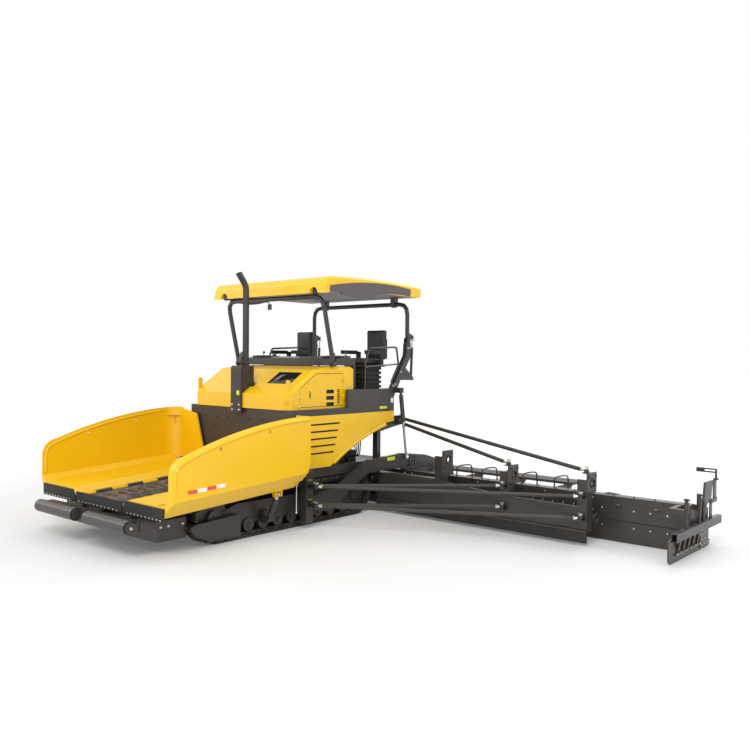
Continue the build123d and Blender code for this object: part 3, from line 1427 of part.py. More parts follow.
def tow_slider():
    """Block in the guide channel with a rear lug and the tow pin."""
    inner = GUIDE_IN + GUIDE_WALL + SEAT_GAP
    outer = GUIDE_OUT - GUIDE_WALL - SEAT_GAP
    block = box(inner, outer, GUIDE_FRONT + GUIDE_WALL + MOVE_GAP, GUIDE_REAR - 15, SLIDER_LOW, SLIDER_HIGH)
    lug = box(1336, 1364, GUIDE_REAR - 20, TOW_Y, TOW_Z - 36, TOW_Z + 36)
    lug += rod((1336, TOW_Y, TOW_Z), (1364, TOW_Y, TOW_Z), 36)
    pin = rod((ARM_IN - 6, TOW_Y, TOW_Z), (ARM_OUT + 6, TOW_Y, TOW_Z), TOW_PIN_R)
    return block + lug + pin


def tow_arm():
    """Long arm from the tow pin over the auger tunnel to the screed."""
    outline = [
        (TOW_Y - 28, 260),
        (TOW_Y + 70, 236),
        (95, 200),
        (340, 300),
        (617, 497),
        (875, 619),
        (1040, 689),
        (1452, 702),
        (1849, 690),
        (SCREED_FRONT + 20, SCREED_HIGH + SEAT_GAP),
        (2900, SCREED_HIGH + SEAT_GAP),
        (3141, 655),
        (3150, 690),
        (2575, 862),
        (1882, 946),
        (1310, 917),
        (1037, 908),
        (839, 840),
        (646, 730),
        (380, 590),
        (60, 520),
        (TOW_Y - 4, 474),
        (TOW_Y - 26, 400),
    ]
    arm = side_plate(outline, ARM_IN, ARM_OUT)
    slot = box(ARM_IN + 16, ARM_OUT - 16, TOW_Y - 60, TOW_Y + 60, 200, 500)
    arm -= slot
    arm -= rod((ARM_IN - 1, TOW_Y, TOW_Z), (ARM_OUT + 1, TOW_Y, TOW_Z), TOW_PIN_R + FIT)
    plate = box(ARM_OUT, ARM_OUT + 8, JOINT_PLATE_Y - 110, JOINT_PLATE_Y + 110, 700, 880)
    return arm + plate


def lift_point(along):
    way = Vector(0, LIFT_EYE_Y - LIFT_TOP_Y, LIFT_EYE_Z - LIFT_TOP_Z).normalized()
    point = Vector(LIFT_X, LIFT_TOP_Y, LIFT_TOP_Z) + way * along
    return (point.X, point.Y, point.Z)


def lift_barrel():
    shape = rod(lift_point(80), lift_point(545), LIFT_BARREL_R)
    shape += rod(lift_point(10), lift_point(90), 22)
    shape += rod((LIFT_X - 22, LIFT_TOP_Y, LIFT_TOP_Z), (LIFT_X + 22, LIFT_TOP_Y, LIFT_TOP_Z), 34)
    shape -= rod(lift_point(98), lift_point(546), LIFT_ROD_R + FIT)
    return shape - rod((LIFT_X - 40, LIFT_TOP_Y, LIFT_TOP_Z), (LIFT_X + 40, LIFT_TOP_Y, LIFT_TOP_Z), LIFT_PIN_R + FIT)


def lift_rod():
    shape = rod(lift_point(LIFT_ROD_START), lift_point(1130), LIFT_ROD_R)
    return shape + rod((LIFT_X - 22, LIFT_EYE_Y, LIFT_EYE_Z), (LIFT_X + 22, LIFT_EYE_Y, LIFT_EYE_Z), 34)


def screed_outline():
    return [
        (SCREED_FRONT + 22, SCREED_LOW),
        (SOLE_REAR, SCREED_LOW),
        (SOLE_REAR, 60),
        (SCREED_BACK, 110),
        (SCREED_BACK, 520),
        (2560, 575),
        (2120, 590),
        (2060, SCREED_HIGH),
        (SCREED_FRONT, SCREED_HIGH),
        (SCREED_FRONT, 316),
        (SCREED_FRONT + 22, 298),
    ]


def screed_bays(spans):
    """Open-backed spaces behind the screed's front wall, one for each (x start, x end)."""
    outline = [
        (SCREED_FRONT + SCREED_WALL, SCREED_LOW + SOLE_THICK),
        (SCREED_BACK - 40, SCREED_LOW + SOLE_THICK),
        (SCREED_BACK + 5, 150),
        (SCREED_BACK + 5, 470),
        (SCREED_BACK - 60, 510),
        (2130, 545),
        (2060, 600),
        (SCREED_FRONT + SCREED_WALL, 600),
    ]
    bays = None
    for start, end in spans:
        bay = side_plate(outline, start, end)
        bays = bay if bays is None else bays + bay
    return bays


def bay_spans(start, end):
    """The bays between two closed ends, parted at each bracket of the walkway."""
    walls = [x for x in WALKWAY_ARMS if start < x < end]
    starts = [start] + [x + RIB_HALF for x in walls]
    ends = [x - RIB_HALF for x in walls] + [end]
    return [span for span in zip(starts, ends) if span[1] - span[0] > 3 * RIB_HALF]


def basic_screed():
    """The screed's middle width, with a centre rib and the seats of the tow arms."""
    body = side_plate(screed_outline(), -BASIC_HALF, BASIC_HALF)
    for start, end in bay_spans(RIB_HALF, BASIC_HALF - SCREED_WALL):
        bays = screed_bays([(start, end), (-end, -start)])
        body -= bays
    for x in (-1, 1):
        seat = box(ARM_IN - 40, ARM_OUT + 40, SCREED_FRONT, 2960, 560, SCREED_HIGH)
        body += seat if x > 0 else mirrored(seat)
    return body + box(-BASIC_HALF, BASIC_HALF, SCREED_BACK - 30, 2960, 560, 600)


def extension():
    """Two bolted-on lengths with a flange between them and the end gate's spindle tubes."""
    start = BASIC_HALF + SEAT_GAP
    body = side_plate(screed_outline(), start, PAVING_HALF)
    body -= screed_bays(bay_spans(start + SCREED_WALL, SECTION_SPLIT - RIB_HALF))
    body -= screed_bays([(SECTION_SPLIT + SCREED_WALL, 5580), (5620, PAVING_HALF - 190)])
    for x in (start, SECTION_SPLIT):
        rib_outline = [(2060, 560), (2690, 500), (2690, 560), (2300, 640), (2060, SCREED_HIGH)]
        body += side_plate(rib_outline, x, x + 24)
    for y in SPINDLE_Y:
        body += box(PAVING_HALF - 160, SPINDLE_X, y - 24, y + 24, 570, SCREED_HIGH - 6)
        body += rod((SPINDLE_X, y, 590), (SPINDLE_X, y, SPINDLE_TUBE_TOP), 30)
    carrier = box(PAVING_HALF - 160, PAVING_HALF - 100, SPINDLE_Y[0] - 24, SCREED_FRONT + 60, 590, SCREED_HIGH - 6)
    body += carrier
    for y in SPINDLE_Y:
        body -= rod((SPINDLE_X, y, 500), (SPINDLE_X, y, 800), SPINDLE_R + FIT)
    post = rod((PAVING_HALF - 60, 2466, 560), (PAVING_HALF - 60, 2466, 740), 26)
    head_outline = [(2675, 500), (3000, 585), (3074, 860), (2756, 861)]
    head = side_plate(head_outline, PAVING_HALF - 90, PAVING_HALF - 60)
    foot = box(PAVING_HALF - 110, PAVING_HALF - 40, 2600, 2760, 440, 560)
    return body + post + head + foot


def walkway():
    """Rear footboard and its edge bar on brackets that stand against the screed's ribs."""
    board = box(-WALKWAY_END, WALKWAY_END, SOLE_REAR + 210, MACHINE_END, WALKWAY_LOW, 600)
    under = WALKWAY_LOW - SEAT_GAP
    edge_bar = box(-WALKWAY_END, WALKWAY_END, MACHINE_END - 22, MACHINE_END, 520, under)
    pieces = [board, edge_bar]
    front = SCREED_BACK + SEAT_GAP
    arm_outline = [(front, 150), (2740, 150), (3200, 520), (3200, under), (front, under)]
    for x in WALKWAY_ARMS:
        pieces += both_sides(side_plate(arm_outline, x - RIB_HALF, x + RIB_HALF))
    return pieces


def end_gate():
    """Side plate, its square beam and the two spindles that hold it."""
    outline = [
        (1135, 300),
        (1135, 75),
        (1152, 34),
        (1195, 10),
        (2610, 10),
        (2640, 60),
        (2640, 380),
        (1500, 380),
    ]
    plate = side_plate(outline, GATE_IN, GATE_OUT)
    beam = box(GATE_OUT, GATE_OUT + 76, BEAM_FRONT, BEAM_REAR, 290, 400)
    beam -= box(GATE_OUT + 9, GATE_OUT + 67, BEAM_FRONT - 1, BEAM_FRONT + 160, 299, 391)
    shape = plate + beam
    for y in SPINDLE_Y:
        shape += rod((SPINDLE_X, y, 380), (SPINDLE_X, y, 790), SPINDLE_R)
        shape += rod((SPINDLE_X, y, 400), (SPINDLE_X, y, 430), 28)
    return shape


save("tow_sliders", both_sides(tow_slider()))
save("tow_arms", both_sides(tow_arm()))
save("lift_barrels", both_sides(lift_barrel()))
save("lift_rods", both_sides(lift_rod()))
save("screed", basic_screed())
save("screed_extensions", both_sides(extension()))
save("walkway", walkway())
save_pair("end_gate", end_gate())
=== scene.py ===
# %% [markdown]
# A tracked asphalt paver in yellow and dark grey enamel. The steel pieces come from the packed
# model as fixed nodes. This lesson sets the view, mixes the finishes and models the small pieces
# that a frame drawing leaves out: rims, bolts, lamps, pipes, pads and grips.

# %% Load the machine
import math
import bpy
import bmesh
from mathutils import Matrix, Vector


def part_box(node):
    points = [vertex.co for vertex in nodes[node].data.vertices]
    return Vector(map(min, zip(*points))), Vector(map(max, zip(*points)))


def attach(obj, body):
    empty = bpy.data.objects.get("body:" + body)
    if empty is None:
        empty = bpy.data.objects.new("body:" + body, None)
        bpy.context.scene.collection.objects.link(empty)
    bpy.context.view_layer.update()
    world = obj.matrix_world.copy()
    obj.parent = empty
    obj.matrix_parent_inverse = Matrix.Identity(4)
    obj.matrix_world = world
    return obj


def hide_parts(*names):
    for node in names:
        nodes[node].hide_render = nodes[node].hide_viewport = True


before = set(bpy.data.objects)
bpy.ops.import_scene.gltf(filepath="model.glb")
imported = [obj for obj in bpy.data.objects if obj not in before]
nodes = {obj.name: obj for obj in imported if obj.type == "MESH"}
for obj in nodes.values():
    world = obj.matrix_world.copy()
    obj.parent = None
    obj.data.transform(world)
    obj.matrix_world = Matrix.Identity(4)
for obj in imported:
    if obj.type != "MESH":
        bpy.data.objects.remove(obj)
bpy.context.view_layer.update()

# %% [markdown]
# The viewpoint stands a long way off at the front left corner, a little above a person's eye.
# Distance is what keeps the long screed and the near hopper in honest proportion.

# %% Camera
CAMERA_PLACE = (9.85, -8.68, 2.56)
CAMERA_YAW = 40.70
CAMERA_PITCH = 1.145
CAMERA_ROLL = 0.49
FOCAL_PIXELS = 785.6
PICTURE_SIDE = 750

lens = bpy.data.cameras.new("view_lens")
lens.sensor_width = 36.0
lens.lens = FOCAL_PIXELS / PICTURE_SIDE * lens.sensor_width
lens.clip_end = 200.0
viewer = bpy.data.objects.new("viewer", lens)
bpy.context.scene.collection.objects.link(viewer)
turn = Matrix.Rotation(math.radians(CAMERA_YAW), 4, "Z")
tilt = Matrix.Rotation(math.radians(90 - CAMERA_PITCH), 4, "X")
roll = Matrix.Rotation(math.radians(CAMERA_ROLL), 4, "Z")
viewer.matrix_world = Matrix.Translation(CAMERA_PLACE) @ turn @ tilt @ roll
bpy.context.scene.camera = viewer
print("lens", round(lens.lens, 2), "mm")

# %% [markdown]
# A studio: one wide pale floor, a white surround for soft light on enamel, a broad lamp high at
# the front left, a weak one at the right and one behind that draws the roof's edge.

# %% Studio floor and light
FLOOR_HALF = 90.0
bpy.ops.object.select_all(action="DESELECT")
bpy.ops.mesh.primitive_plane_add(size=2 * FLOOR_HALF, location=(0, 0, 0))
floor = bpy.context.object
floor.name = "studio_floor"


def linear(hex_colour):
    """sRGB hex to the linear values that a shader works with."""
    parts = [int(hex_colour[i : i + 2], 16) / 255 for i in (1, 3, 5)]
    values = [c / 12.92 if c <= 0.04045 else ((c + 0.055) / 1.055) ** 2.4 for c in parts]
    return (*values, 1.0)


world = bpy.data.worlds.new("studio_air")
bpy.context.scene.world = world
world.use_nodes = True
world.node_tree.nodes["Background"].inputs["Color"].default_value = linear("#FFFFFF")
world.node_tree.nodes["Background"].inputs["Strength"].default_value = 1.0


def area_light(name, place, aim, size, power):
    data = bpy.data.lights.new(name, "AREA")
    data.shape = "DISK"
    data.size = size
    data.energy = power
    lamp = bpy.data.objects.new(name, data)
    bpy.context.scene.collection.objects.link(lamp)
    lamp.location = place
    lamp.rotation_euler = (Vector(aim) - Vector(place)).to_track_quat("-Z", "Y").to_euler()


area_light("key_light", (9.0, -12.0, 13.0), (0.5, 0.0, 1.0), 7.0, 1350)
area_light("fill_light", (-13.0, -9.0, 9.0), (0.0, 0.0, 1.0), 9.0, 420)
area_light("rim_light", (4.0, 13.0, 11.0), (1.0, 0.0, 1.5), 6.0, 700)
view_settings = bpy.context.scene.view_settings
view_settings.view_transform = "Standard"
print("lights placed")

# %% [markdown]
# Every finish below is built from the same few steps, so short helpers add a node with its
# links, a noise, a change of range, a mix of two tones, and the closing bump and shader.

# %% Helpers for finishes


def add_node(material, kind, settings=None, **links):
    """Adds one shader node, sets its values and joins its named inputs."""
    tree = material.node_tree
    node = tree.nodes.new(kind)
    for key, value in (settings or {}).items():
        if key in node.inputs:
            node.inputs[key].default_value = value
        else:
            setattr(node, key, value)
    for key, source in links.items():
        label = key.replace("_", " ")
        tree.links.new(source, node.inputs[label if label in node.inputs else key])
    return node


def new_finish(name):
    """An empty material, and the object coordinates in which its patterns lie."""
    material = bpy.data.materials.new(name)
    material.use_nodes = True
    material.node_tree.nodes.clear()
    place = add_node(material, "ShaderNodeTexCoord")
    return material, place.outputs["Object"]


def noise(material, place, scale, detail=2.0):
    node = add_node(material, "ShaderNodeTexNoise", {"Scale": scale, "Detail": detail}, Vector=place)
    return node.outputs["Fac"]


def cells(material, place, scale):
    node = add_node(material, "ShaderNodeTexVoronoi", {"Scale": scale}, Vector=place)
    return node.outputs["Distance"]


def remap(material, value, low, high, start=0.0, end=1.0):
    """Takes a value from the range start to end into the range low to high."""
    limits = {"From Min": start, "From Max": end, "To Min": low, "To Max": high}
    return add_node(material, "ShaderNodeMapRange", limits, Value=value).outputs["Result"]


def blend(material, share, tone, other):
    """Mixes two tones by a share. The first may come from another node."""
    mix = add_node(material, "ShaderNodeMix", {"data_type": "RGBA"}, Factor=share)
    if isinstance(tone, bpy.types.NodeSocket):
        material.node_tree.links.new(tone, mix.inputs[6])
    else:
        mix.inputs[6].default_value = tone
    mix.inputs[7].default_value = other
    return mix.outputs[2]


def end_finish(material, settings, **links):
    """Closes a finish with its shader and the material's output."""
    shader = add_node(material, "ShaderNodeBsdfPrincipled", settings, **links)
    output = add_node(material, "ShaderNodeOutputMaterial")
    material.node_tree.links.new(shader.outputs[0], output.inputs["Surface"])
    return material


def relief(material, height, strength, depth):
    """Turns a height pattern into the bend of the surface; depth is in metres."""
    settings = {"Strength": strength, "Distance": depth}
    return add_node(material, "ShaderNodeBump", settings, Height=height).outputs["Normal"]


# %% [markdown]
# The yellow is a two-pack polyurethane enamel sprayed on steel plate. It has a faint orange
# peel about 4 mm wide, a clear soft gloss, and a little road dust that settles low down.
# A bump of a tenth of a millimetre reads as paint; any more would look like cast iron.

# %% Sprayed enamel


def enamel(name, colour, dust_colour, roughness, dust_height, dust_share):
    """Sprayed machine enamel: orange peel, slight tone drift, dust near the ground."""
    material, place = new_finish(name)
    tone = remap(material, noise(material, place, 1.6, 3.0), 0.955, 1.04)
    paint = add_node(material, "ShaderNodeHueSaturation", {"Color": linear(colour)}, Value=tone)
    height = add_node(material, "ShaderNodeSeparateXYZ", Vector=place)
    low = remap(material, height.outputs["Z"], dust_share, 0.0, 0.0, dust_height)
    grit = noise(material, place, 9.0, 8.0)
    dust = add_node(material, "ShaderNodeMath", {"operation": "MULTIPLY"})
    material.node_tree.links.new(low, dust.inputs[0])
    material.node_tree.links.new(grit, dust.inputs[1])
    peel = noise(material, place, 240.0, 1.0)
    return end_finish(
        material,
        {"IOR": 1.5, "Coat Weight": 0.25, "Coat Roughness": 0.12},
        Base_Color=blend(material, dust.outputs[0], paint.outputs["Color"], linear(dust_colour)),
        Roughness=remap(material, grit, roughness - 0.05, roughness + 0.07),
        Normal=relief(material, peel, 0.12, 0.0004),
    )


YELLOW = "#E9B800"
FRAME_GREY = "#2F2A28"
yellow_enamel = enamel("yellow_polyurethane_enamel", YELLOW, "#B98A2A", 0.34, 0.7, 0.25)
grey_enamel = enamel("dark_grey_enamel", FRAME_GREY, "#4A423C", 0.44, 0.9, 0.3)
print("enamels mixed")

# %% [markdown]
# Bare metals. Track shoes are forged steel gone dark and scuffed, the conveyor is worn paler, ram
# rods are hard chrome, and eyes, bolts and turnbuckles are zinc plated, which is pale and a
# little yellow. The exhaust's paint is baked thin, so it is mixed here as a dull metal.

# %% Metals


def bare_metal(name, colour, scuff_colour, roughness, scuff_scale, metallic=1.0):
    """Metal with a second tone where it has been scuffed, and a fine grain."""
    material, place = new_finish(name)
    scuff = noise(material, place, scuff_scale, 6.0)
    edge = remap(material, scuff, 0.0, 1.0, 0.42, 0.66)
    return end_finish(
        material,
        {"Metallic": metallic},
        Base_Color=blend(material, edge, linear(colour), linear(scuff_colour)),
        Roughness=remap(material, scuff, roughness - 0.06, roughness + 0.1),
        Normal=relief(material, noise(material, place, 420.0), 0.15, 0.0004),
    )


forged_steel = bare_metal("forged_track_steel", "#36322F", "#59524C", 0.52, 14.0, 0.6)
worn_steel = bare_metal("worn_conveyor_steel", "#5B5650", "#837C74", 0.42, 9.0, 0.8)
chrome_rod = bare_metal("hard_chrome", "#D4D6D8", "#C2C5C8", 0.12, 5.0)
zinc_plate = bare_metal("zinc_plate", "#C9C6B8", "#E4E1D4", 0.3, 30.0)
exhaust_paint = bare_metal("baked_exhaust_paint", "#383331", "#423C39", 0.5, 7.0, 0.2)
print("metals mixed")

# %% [markdown]
# Rubber, moulded plastic and seat vinyl are dark and matt, and differ by their surface: rubber is
# chalky and smooth, plastic has a fine spark-eroded grain, vinyl a leather-like grain of 3 mm.

# %% Soft and moulded finishes


def moulded(name, colour, pale_colour, roughness, grain_scale, grain_depth):
    """Matt surface with a cell grain of a set size."""
    material, place = new_finish(name)
    bloom = noise(material, place, 5.0, 5.0)
    return end_finish(
        material,
        {"Roughness": roughness, "IOR": 1.5},
        Base_Color=blend(material, bloom, linear(colour), linear(pale_colour)),
        Normal=relief(material, cells(material, place, grain_scale), 0.3, grain_depth),
    )


sheet_rubber = moulded("sheet_rubber", "#1B1A19", "#2A2826", 0.72, 180.0, 0.0005)
liner_plastic = moulded("moulded_liner", "#2B2928", "#353231", 0.55, 260.0, 0.0005)
panel_plastic = moulded("grained_panel", "#4B4644", "#545050", 0.5, 260.0, 0.0005)
seat_vinyl = moulded("seat_vinyl", "#1E1D1D", "#2C2B2B", 0.5, 330.0, 0.001)
print("soft finishes mixed")

# %% [markdown]
# The floor is a roll of matt white paper. Near the machine it only takes the lamps' light, so
# soft shadows show on it. Further out it glows more and more, as a lit studio sweep does, until
# it is as white as the air and no horizon is left.

# %% Floor finish
GLOW_NEAR, GLOW_FAR = 0.10, 0.40
floor_finish, floor_place = new_finish("studio_paper")
floor_tone = noise(floor_finish, floor_place, 0.2)
reach = add_node(floor_finish, "ShaderNodeVectorMath", {"operation": "LENGTH"}, Vector=floor_place)
end_finish(
    floor_finish,
    {"Roughness": 0.9, "Emission Color": linear("#FFFFFF")},
    Base_Color=remap(floor_finish, floor_tone, 0.61, 0.63),
    Emission_Strength=remap(floor_finish, reach.outputs["Value"], GLOW_NEAR, GLOW_FAR, 5.0, 14.0),
)
floor.data.materials.append(floor_finish)
print("floor glow from", GLOW_NEAR, "to", GLOW_FAR)

# %% [markdown]
# Each steel node gets the finish of the real piece. The groups name every node that is not dark
# grey; all others take the grey enamel.

# %% Finishes on the steel nodes
YELLOW_NODES = ("hopper_wing_left", "hopper_wing_right", "side_skirts", "hood", "roof")
RUBBER_NODES = ("apron_middle", "apron_side_left", "apron_side_right", "rubber_skirts", "seat_bases")
CHROME_NODES = ("wing_ram_stage_left", "wing_ram_stage_right", "wing_ram_rod_left", "wing_ram_rod_right")
FINISH_GROUPS = (
    (forged_steel, ("track_left", "track_right")),
    (yellow_enamel, YELLOW_NODES + ("hood_door_left", "hood_door_right")),
    (panel_plastic, ("roof_liner",)),
    (worn_steel, ("conveyor",)),
    (sheet_rubber, RUBBER_NODES),
    (seat_vinyl, ("seat_cushions",)),
    (exhaust_paint, ("exhaust_box", "exhaust_pipe")),
    (chrome_rod, CHROME_NODES + ("lift_rods", "canopy_ram_rods")),
)
node_finishes = {name: finish for finish, group in FINISH_GROUPS for name in group}
for node_name, node_object in nodes.items():
    for slot in node_object.material_slots:
        slot.material = node_finishes.get(node_name, grey_enamel)
print("finishes set on", len(nodes), "nodes")

# %% [markdown]
# Small pieces are modelled by hand: a primitive at its size and place, shaped in edit mode. Short
# helpers select faces by their direction, place copies, set rows of bolts, and hand a finished
# piece over to the body that carries it.

# %% Helpers for modelling


def only(*objects):
    """Selects these objects alone and makes the first one active."""
    bpy.ops.object.select_all(action="DESELECT")
    for item in objects:
        item.select_set(True)
    bpy.context.view_layer.objects.active = objects[0]


def pick_faces(item, test):
    """Enters edit mode with the faces selected whose centre and normal pass the test."""
    only(item)
    bpy.ops.object.mode_set(mode="EDIT")
    bpy.ops.mesh.select_mode(type="FACE")
    mesh = bmesh.from_edit_mesh(item.data)
    for face in mesh.faces:
        face.select_set(bool(test(face.calc_center_median(), face.normal)))
    bmesh.update_edit_mesh(item.data)


def leave_edit():
    bpy.ops.object.mode_set(mode="OBJECT")


def modify(item, kind, **settings):
    """Adds one modifier with these settings and applies it."""
    modifier = item.modifiers.new(kind.lower(), kind)
    for key, value in settings.items():
        setattr(modifier, key, value)
    bpy.ops.object.modifier_apply(modifier=modifier.name)


def bevel(item, width, segments=2, angle=35):
    """Rounds the edges that are sharper than an angle."""
    only(item)
    sharp = math.radians(angle)
    modify(item, "BEVEL", width=width, segments=segments, limit_method="ANGLE", angle_limit=sharp)


def copy_to(master, matrices):
    """Copies of a master at each matrix, joined with it removed."""
    made = []
    for matrix in matrices:
        twin = master.copy()
        twin.data = master.data.copy()
        twin.matrix_world = matrix
        bpy.context.scene.collection.objects.link(twin)
        made.append(twin)
    bpy.data.objects.remove(master)
    only(*made)
    if len(made) > 1:
        bpy.ops.object.join()
    return bpy.context.object


def hand_over(item, name, body, finish, slot_name, smooth=30):
    """Applies the place, shades, names and mounts a finished piece."""
    only(item)
    bpy.ops.object.transform_apply(location=True, rotation=True, scale=True)
    bpy.ops.object.shade_smooth_by_angle(angle=math.radians(smooth))
    item.name = name
    item.data.materials.clear()
    item.data.materials.append(finish)
    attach(item, body)
    return item


def facing(place, direction, spin=0.0):
    """Matrix that stands a piece's Z axis along a direction at a place."""
    way = Vector(direction).normalized()
    turn = way.to_track_quat("Z", "Y").to_matrix().to_4x4()
    return Matrix.Translation(place) @ turn @ Matrix.Rotation(spin, 4, "Z")


def set_down(item, place, angle, axis):
    """Turns a piece about an axis through the origin, then moves it to its place."""
    item.matrix_world = Matrix.Translation(place) @ Matrix.Rotation(angle, 4, axis) @ item.matrix_world
    return item


def prism(sides, radius, depth):
    """A fresh prism on the origin, with its axis along Z."""
    bpy.ops.object.select_all(action="DESELECT")
    bpy.ops.mesh.primitive_cylinder_add(vertices=sides, radius=radius, depth=depth)
    return bpy.context.object


def recess(item, test, margin, shift):
    """Insets the chosen faces by a margin and pushes them in."""
    pick_faces(item, test)
    bpy.ops.mesh.inset(thickness=margin)
    bpy.ops.transform.translate(value=shift)
    leave_edit()


def pinch(item, test, value, centre):
    """Scales the chosen faces about a centre, to taper a piece."""
    pick_faces(item, test)
    bpy.ops.transform.resize(value=value, center_override=centre)
    leave_edit()


# The three most used finishes, each paired with a slot name.
GREY = (grey_enamel, "frame_grey")
BRIGHT_YELLOW = (yellow_enamel, "body_yellow")
BLACK = (liner_plastic, "liner_black")

# Directions of bolts and rings, and a hexagon's corner radius over its width across the flats.
OUTWARD, FORWARD, UPWARD = (1, 0, 0), (0, -1, 0), (0, 0, 1)
HEX_RADIUS = 0.577


def bolts(name, body, size, spots, finish=None, slot_name="steel"):
    """Hexagon heads on washers; size is across the flats, spots are (place, direction)."""
    head = prism(6, size * HEX_RADIUS, size * 0.6)
    pick_faces(head, lambda centre, normal: normal.z < -0.9)
    bpy.ops.mesh.extrude_region_move()
    bpy.ops.transform.resize(value=(1.35, 1.35, 1.0))
    bpy.ops.mesh.extrude_region_move(TRANSFORM_OT_translate={"value": (0, 0, -size * 0.1)})
    leave_edit()
    bevel(head, size * 0.05, 1)
    matrices = []
    for n, (place, way) in enumerate(spots):
        seat = Vector(place) + Vector(way).normalized() * size * 0.38
        matrices.append(facing(seat, way, 0.3 * n))
    return hand_over(copy_to(head, matrices), name, body, finish or zinc_plate, slot_name)


def grid(xs, ys, zs, way):
    """Bolt spots at every mix of the given x, y and z, all facing one way."""
    return [((x, y, z), way) for x in xs for y in ys for z in zs]


def mirrored(spots):
    """The mirror images, on the right side, of spots on the left."""
    return [((-x, y, z), (-u, v, w)) for (x, y, z), (u, v, w) in spots]


def both_ways(spots):
    """Spots on the left and their mirror images on the right."""
    return spots + mirrored(spots)


def bolt_pair(name, bodies, size, spots):
    """Plated bolts on a left body, and the same on its twin on the right."""
    bolts(name + "_left", bodies[0], size, spots)
    bolts(name + "_right", bodies[1], size, mirrored(spots))


# %% [markdown]
# A few finishes are used by small pieces alone: tinted glass, the prismatic film of a road
# reflector, plain plates of painted aluminium, brass couplings, and a near-black sheet that paints
# shade into slots. The walkway and the platform get a coarse tread paint over the grey.

# %% Finishes of the small pieces


def film(name, colour, cell_scale):
    """Prismatic reflective film: flat colour under tiny cells and a clear top coat."""
    material, place = new_finish(name)
    prisms = cells(material, place, cell_scale)
    shaded = [value * 0.82 for value in linear(colour)[:3]] + [1.0]
    return end_finish(
        material,
        {"Roughness": 0.32, "Coat Weight": 0.6, "Coat Roughness": 0.08},
        Base_Color=blend(material, prisms, linear(colour), shaded),
        Normal=relief(material, prisms, 0.2, 0.0003),
    )


red_film = film("red_reflective_film", "#E2421F", 700.0)
white_film = film("white_reflective_film", "#F4F2EE", 700.0)
plate_green = film("blank_yellow_green_plate", "#D3E021", 120.0)
plate_white = film("blank_white_plate", "#F1F1ED", 120.0)
tinted_glass = moulded("tinted_glass", "#141414", "#1B1B1B", 0.1, 40.0, 0.0002)
brass = bare_metal("brass_coupling", "#B9A24A", "#8E9A3F", 0.28, 22.0)
tread_enamel = moulded("grey_tread_enamel", "#38332F", "#4A443F", 0.55, 32.0, 0.006)
# A near-black sheet of painted shade, set behind and in the hood and skirt slots to darken them.
painted_shade_black = moulded("painted_shade_black_sheet", "#0E0D0D", "#1A1918", 0.6, 150.0, 0.003)
for node_name in ("walkway", "platform"):
    for slot in nodes[node_name].material_slots:
        slot.material = tread_enamel
print("small finishes mixed")

# %% [markdown]
# Most small pieces are a block, a turned bar, a collar or a bent tube. What stands on both sides
# of the machine is modelled on the left and mirrored.

# %% Helpers for plain bars, blocks and rings


def block(low, high, edge=0.004, segments=2):
    """A block between two corners with rounded edges."""
    bpy.ops.object.select_all(action="DESELECT")
    middle = (Vector(low) + Vector(high)) / 2
    bpy.ops.mesh.primitive_cube_add(size=1.0, location=middle)
    item = bpy.context.object
    item.scale = Vector(high) - Vector(low)
    bpy.ops.object.transform_apply(location=False, rotation=False, scale=True)
    bevel(item, edge, segments)
    return item


def across(x, half, near, far, edge=0.004, segments=2):
    """A block centred on x, between a near and a far corner in y and z."""
    return block((x - half, *near), (x + half, *far), edge, segments)


def beside(point, x, y, z):
    """A point that lies a step along each axis from another."""
    return Vector(point) + Vector((x, y, z))


def round_bar(start, end, radius, sides=16, edge=0.0015):
    """A turned bar between two points with a chamfer at both ends."""
    way = Vector(end) - Vector(start)
    item = prism(sides, radius, way.length)
    bevel(item, min(edge, radius * 0.3), 1, 60)
    item.matrix_world = facing((Vector(start) + Vector(end)) / 2, way)
    return item


def ring(place, direction, outer, inner, depth, sides=24):
    """A flat collar: a disc whose two faces are inset and bridged through."""
    item = prism(sides, outer, depth)
    pick_faces(item, lambda centre, normal: abs(normal.z) > 0.9)
    bpy.ops.mesh.inset(thickness=(outer - inner) * math.cos(math.pi / sides))
    bpy.ops.mesh.bridge_edge_loops()
    leave_edit()
    bevel(item, min(0.002, (outer - inner) * 0.2), 1, 50)
    item.matrix_world = facing(place, direction)
    return item


def bent_tube(points, radius, resolution=3):
    """A bent bar on a smooth path through given points."""
    bpy.ops.object.select_all(action="DESELECT")
    bpy.ops.curve.primitive_nurbs_path_add()
    path = bpy.context.object
    path.data.splines.clear()
    spline = path.data.splines.new("NURBS")
    spline.points.add(len(points) - 1)
    for spot, point in zip(spline.points, points):
        spot.co = (*point, 1.0)
    spline.order_u = 3
    spline.use_endpoint_u = True
    spline.resolution_u = 5
    path.location = (0, 0, 0)
    path.data.bevel_depth = radius
    path.data.bevel_resolution = resolution
    path.data.use_fill_caps = True
    bpy.ops.object.convert(target="MESH")
    return bpy.context.object


def weld(items):
    """Joins pieces of one finish into one object."""
    only(*items)
    bpy.ops.object.transform_apply(location=True, rotation=True, scale=True)
    if len(items) > 1:
        bpy.ops.object.join()
    return bpy.context.object


def mirror_twin(item):
    """The same piece on the machine's right side, with its faces turned outwards again."""
    twin = item.copy()
    twin.data = item.data.copy()
    bpy.context.scene.collection.objects.link(twin)
    only(twin)
    twin.scale.x = -1.0
    twin.location.x = -twin.location.x
    bpy.ops.object.transform_apply(location=True, rotation=True, scale=True)
    bpy.ops.object.mode_set(mode="EDIT")
    bpy.ops.mesh.select_all(action="SELECT")
    bpy.ops.mesh.normals_make_consistent(inside=False)
    leave_edit()
    return twin


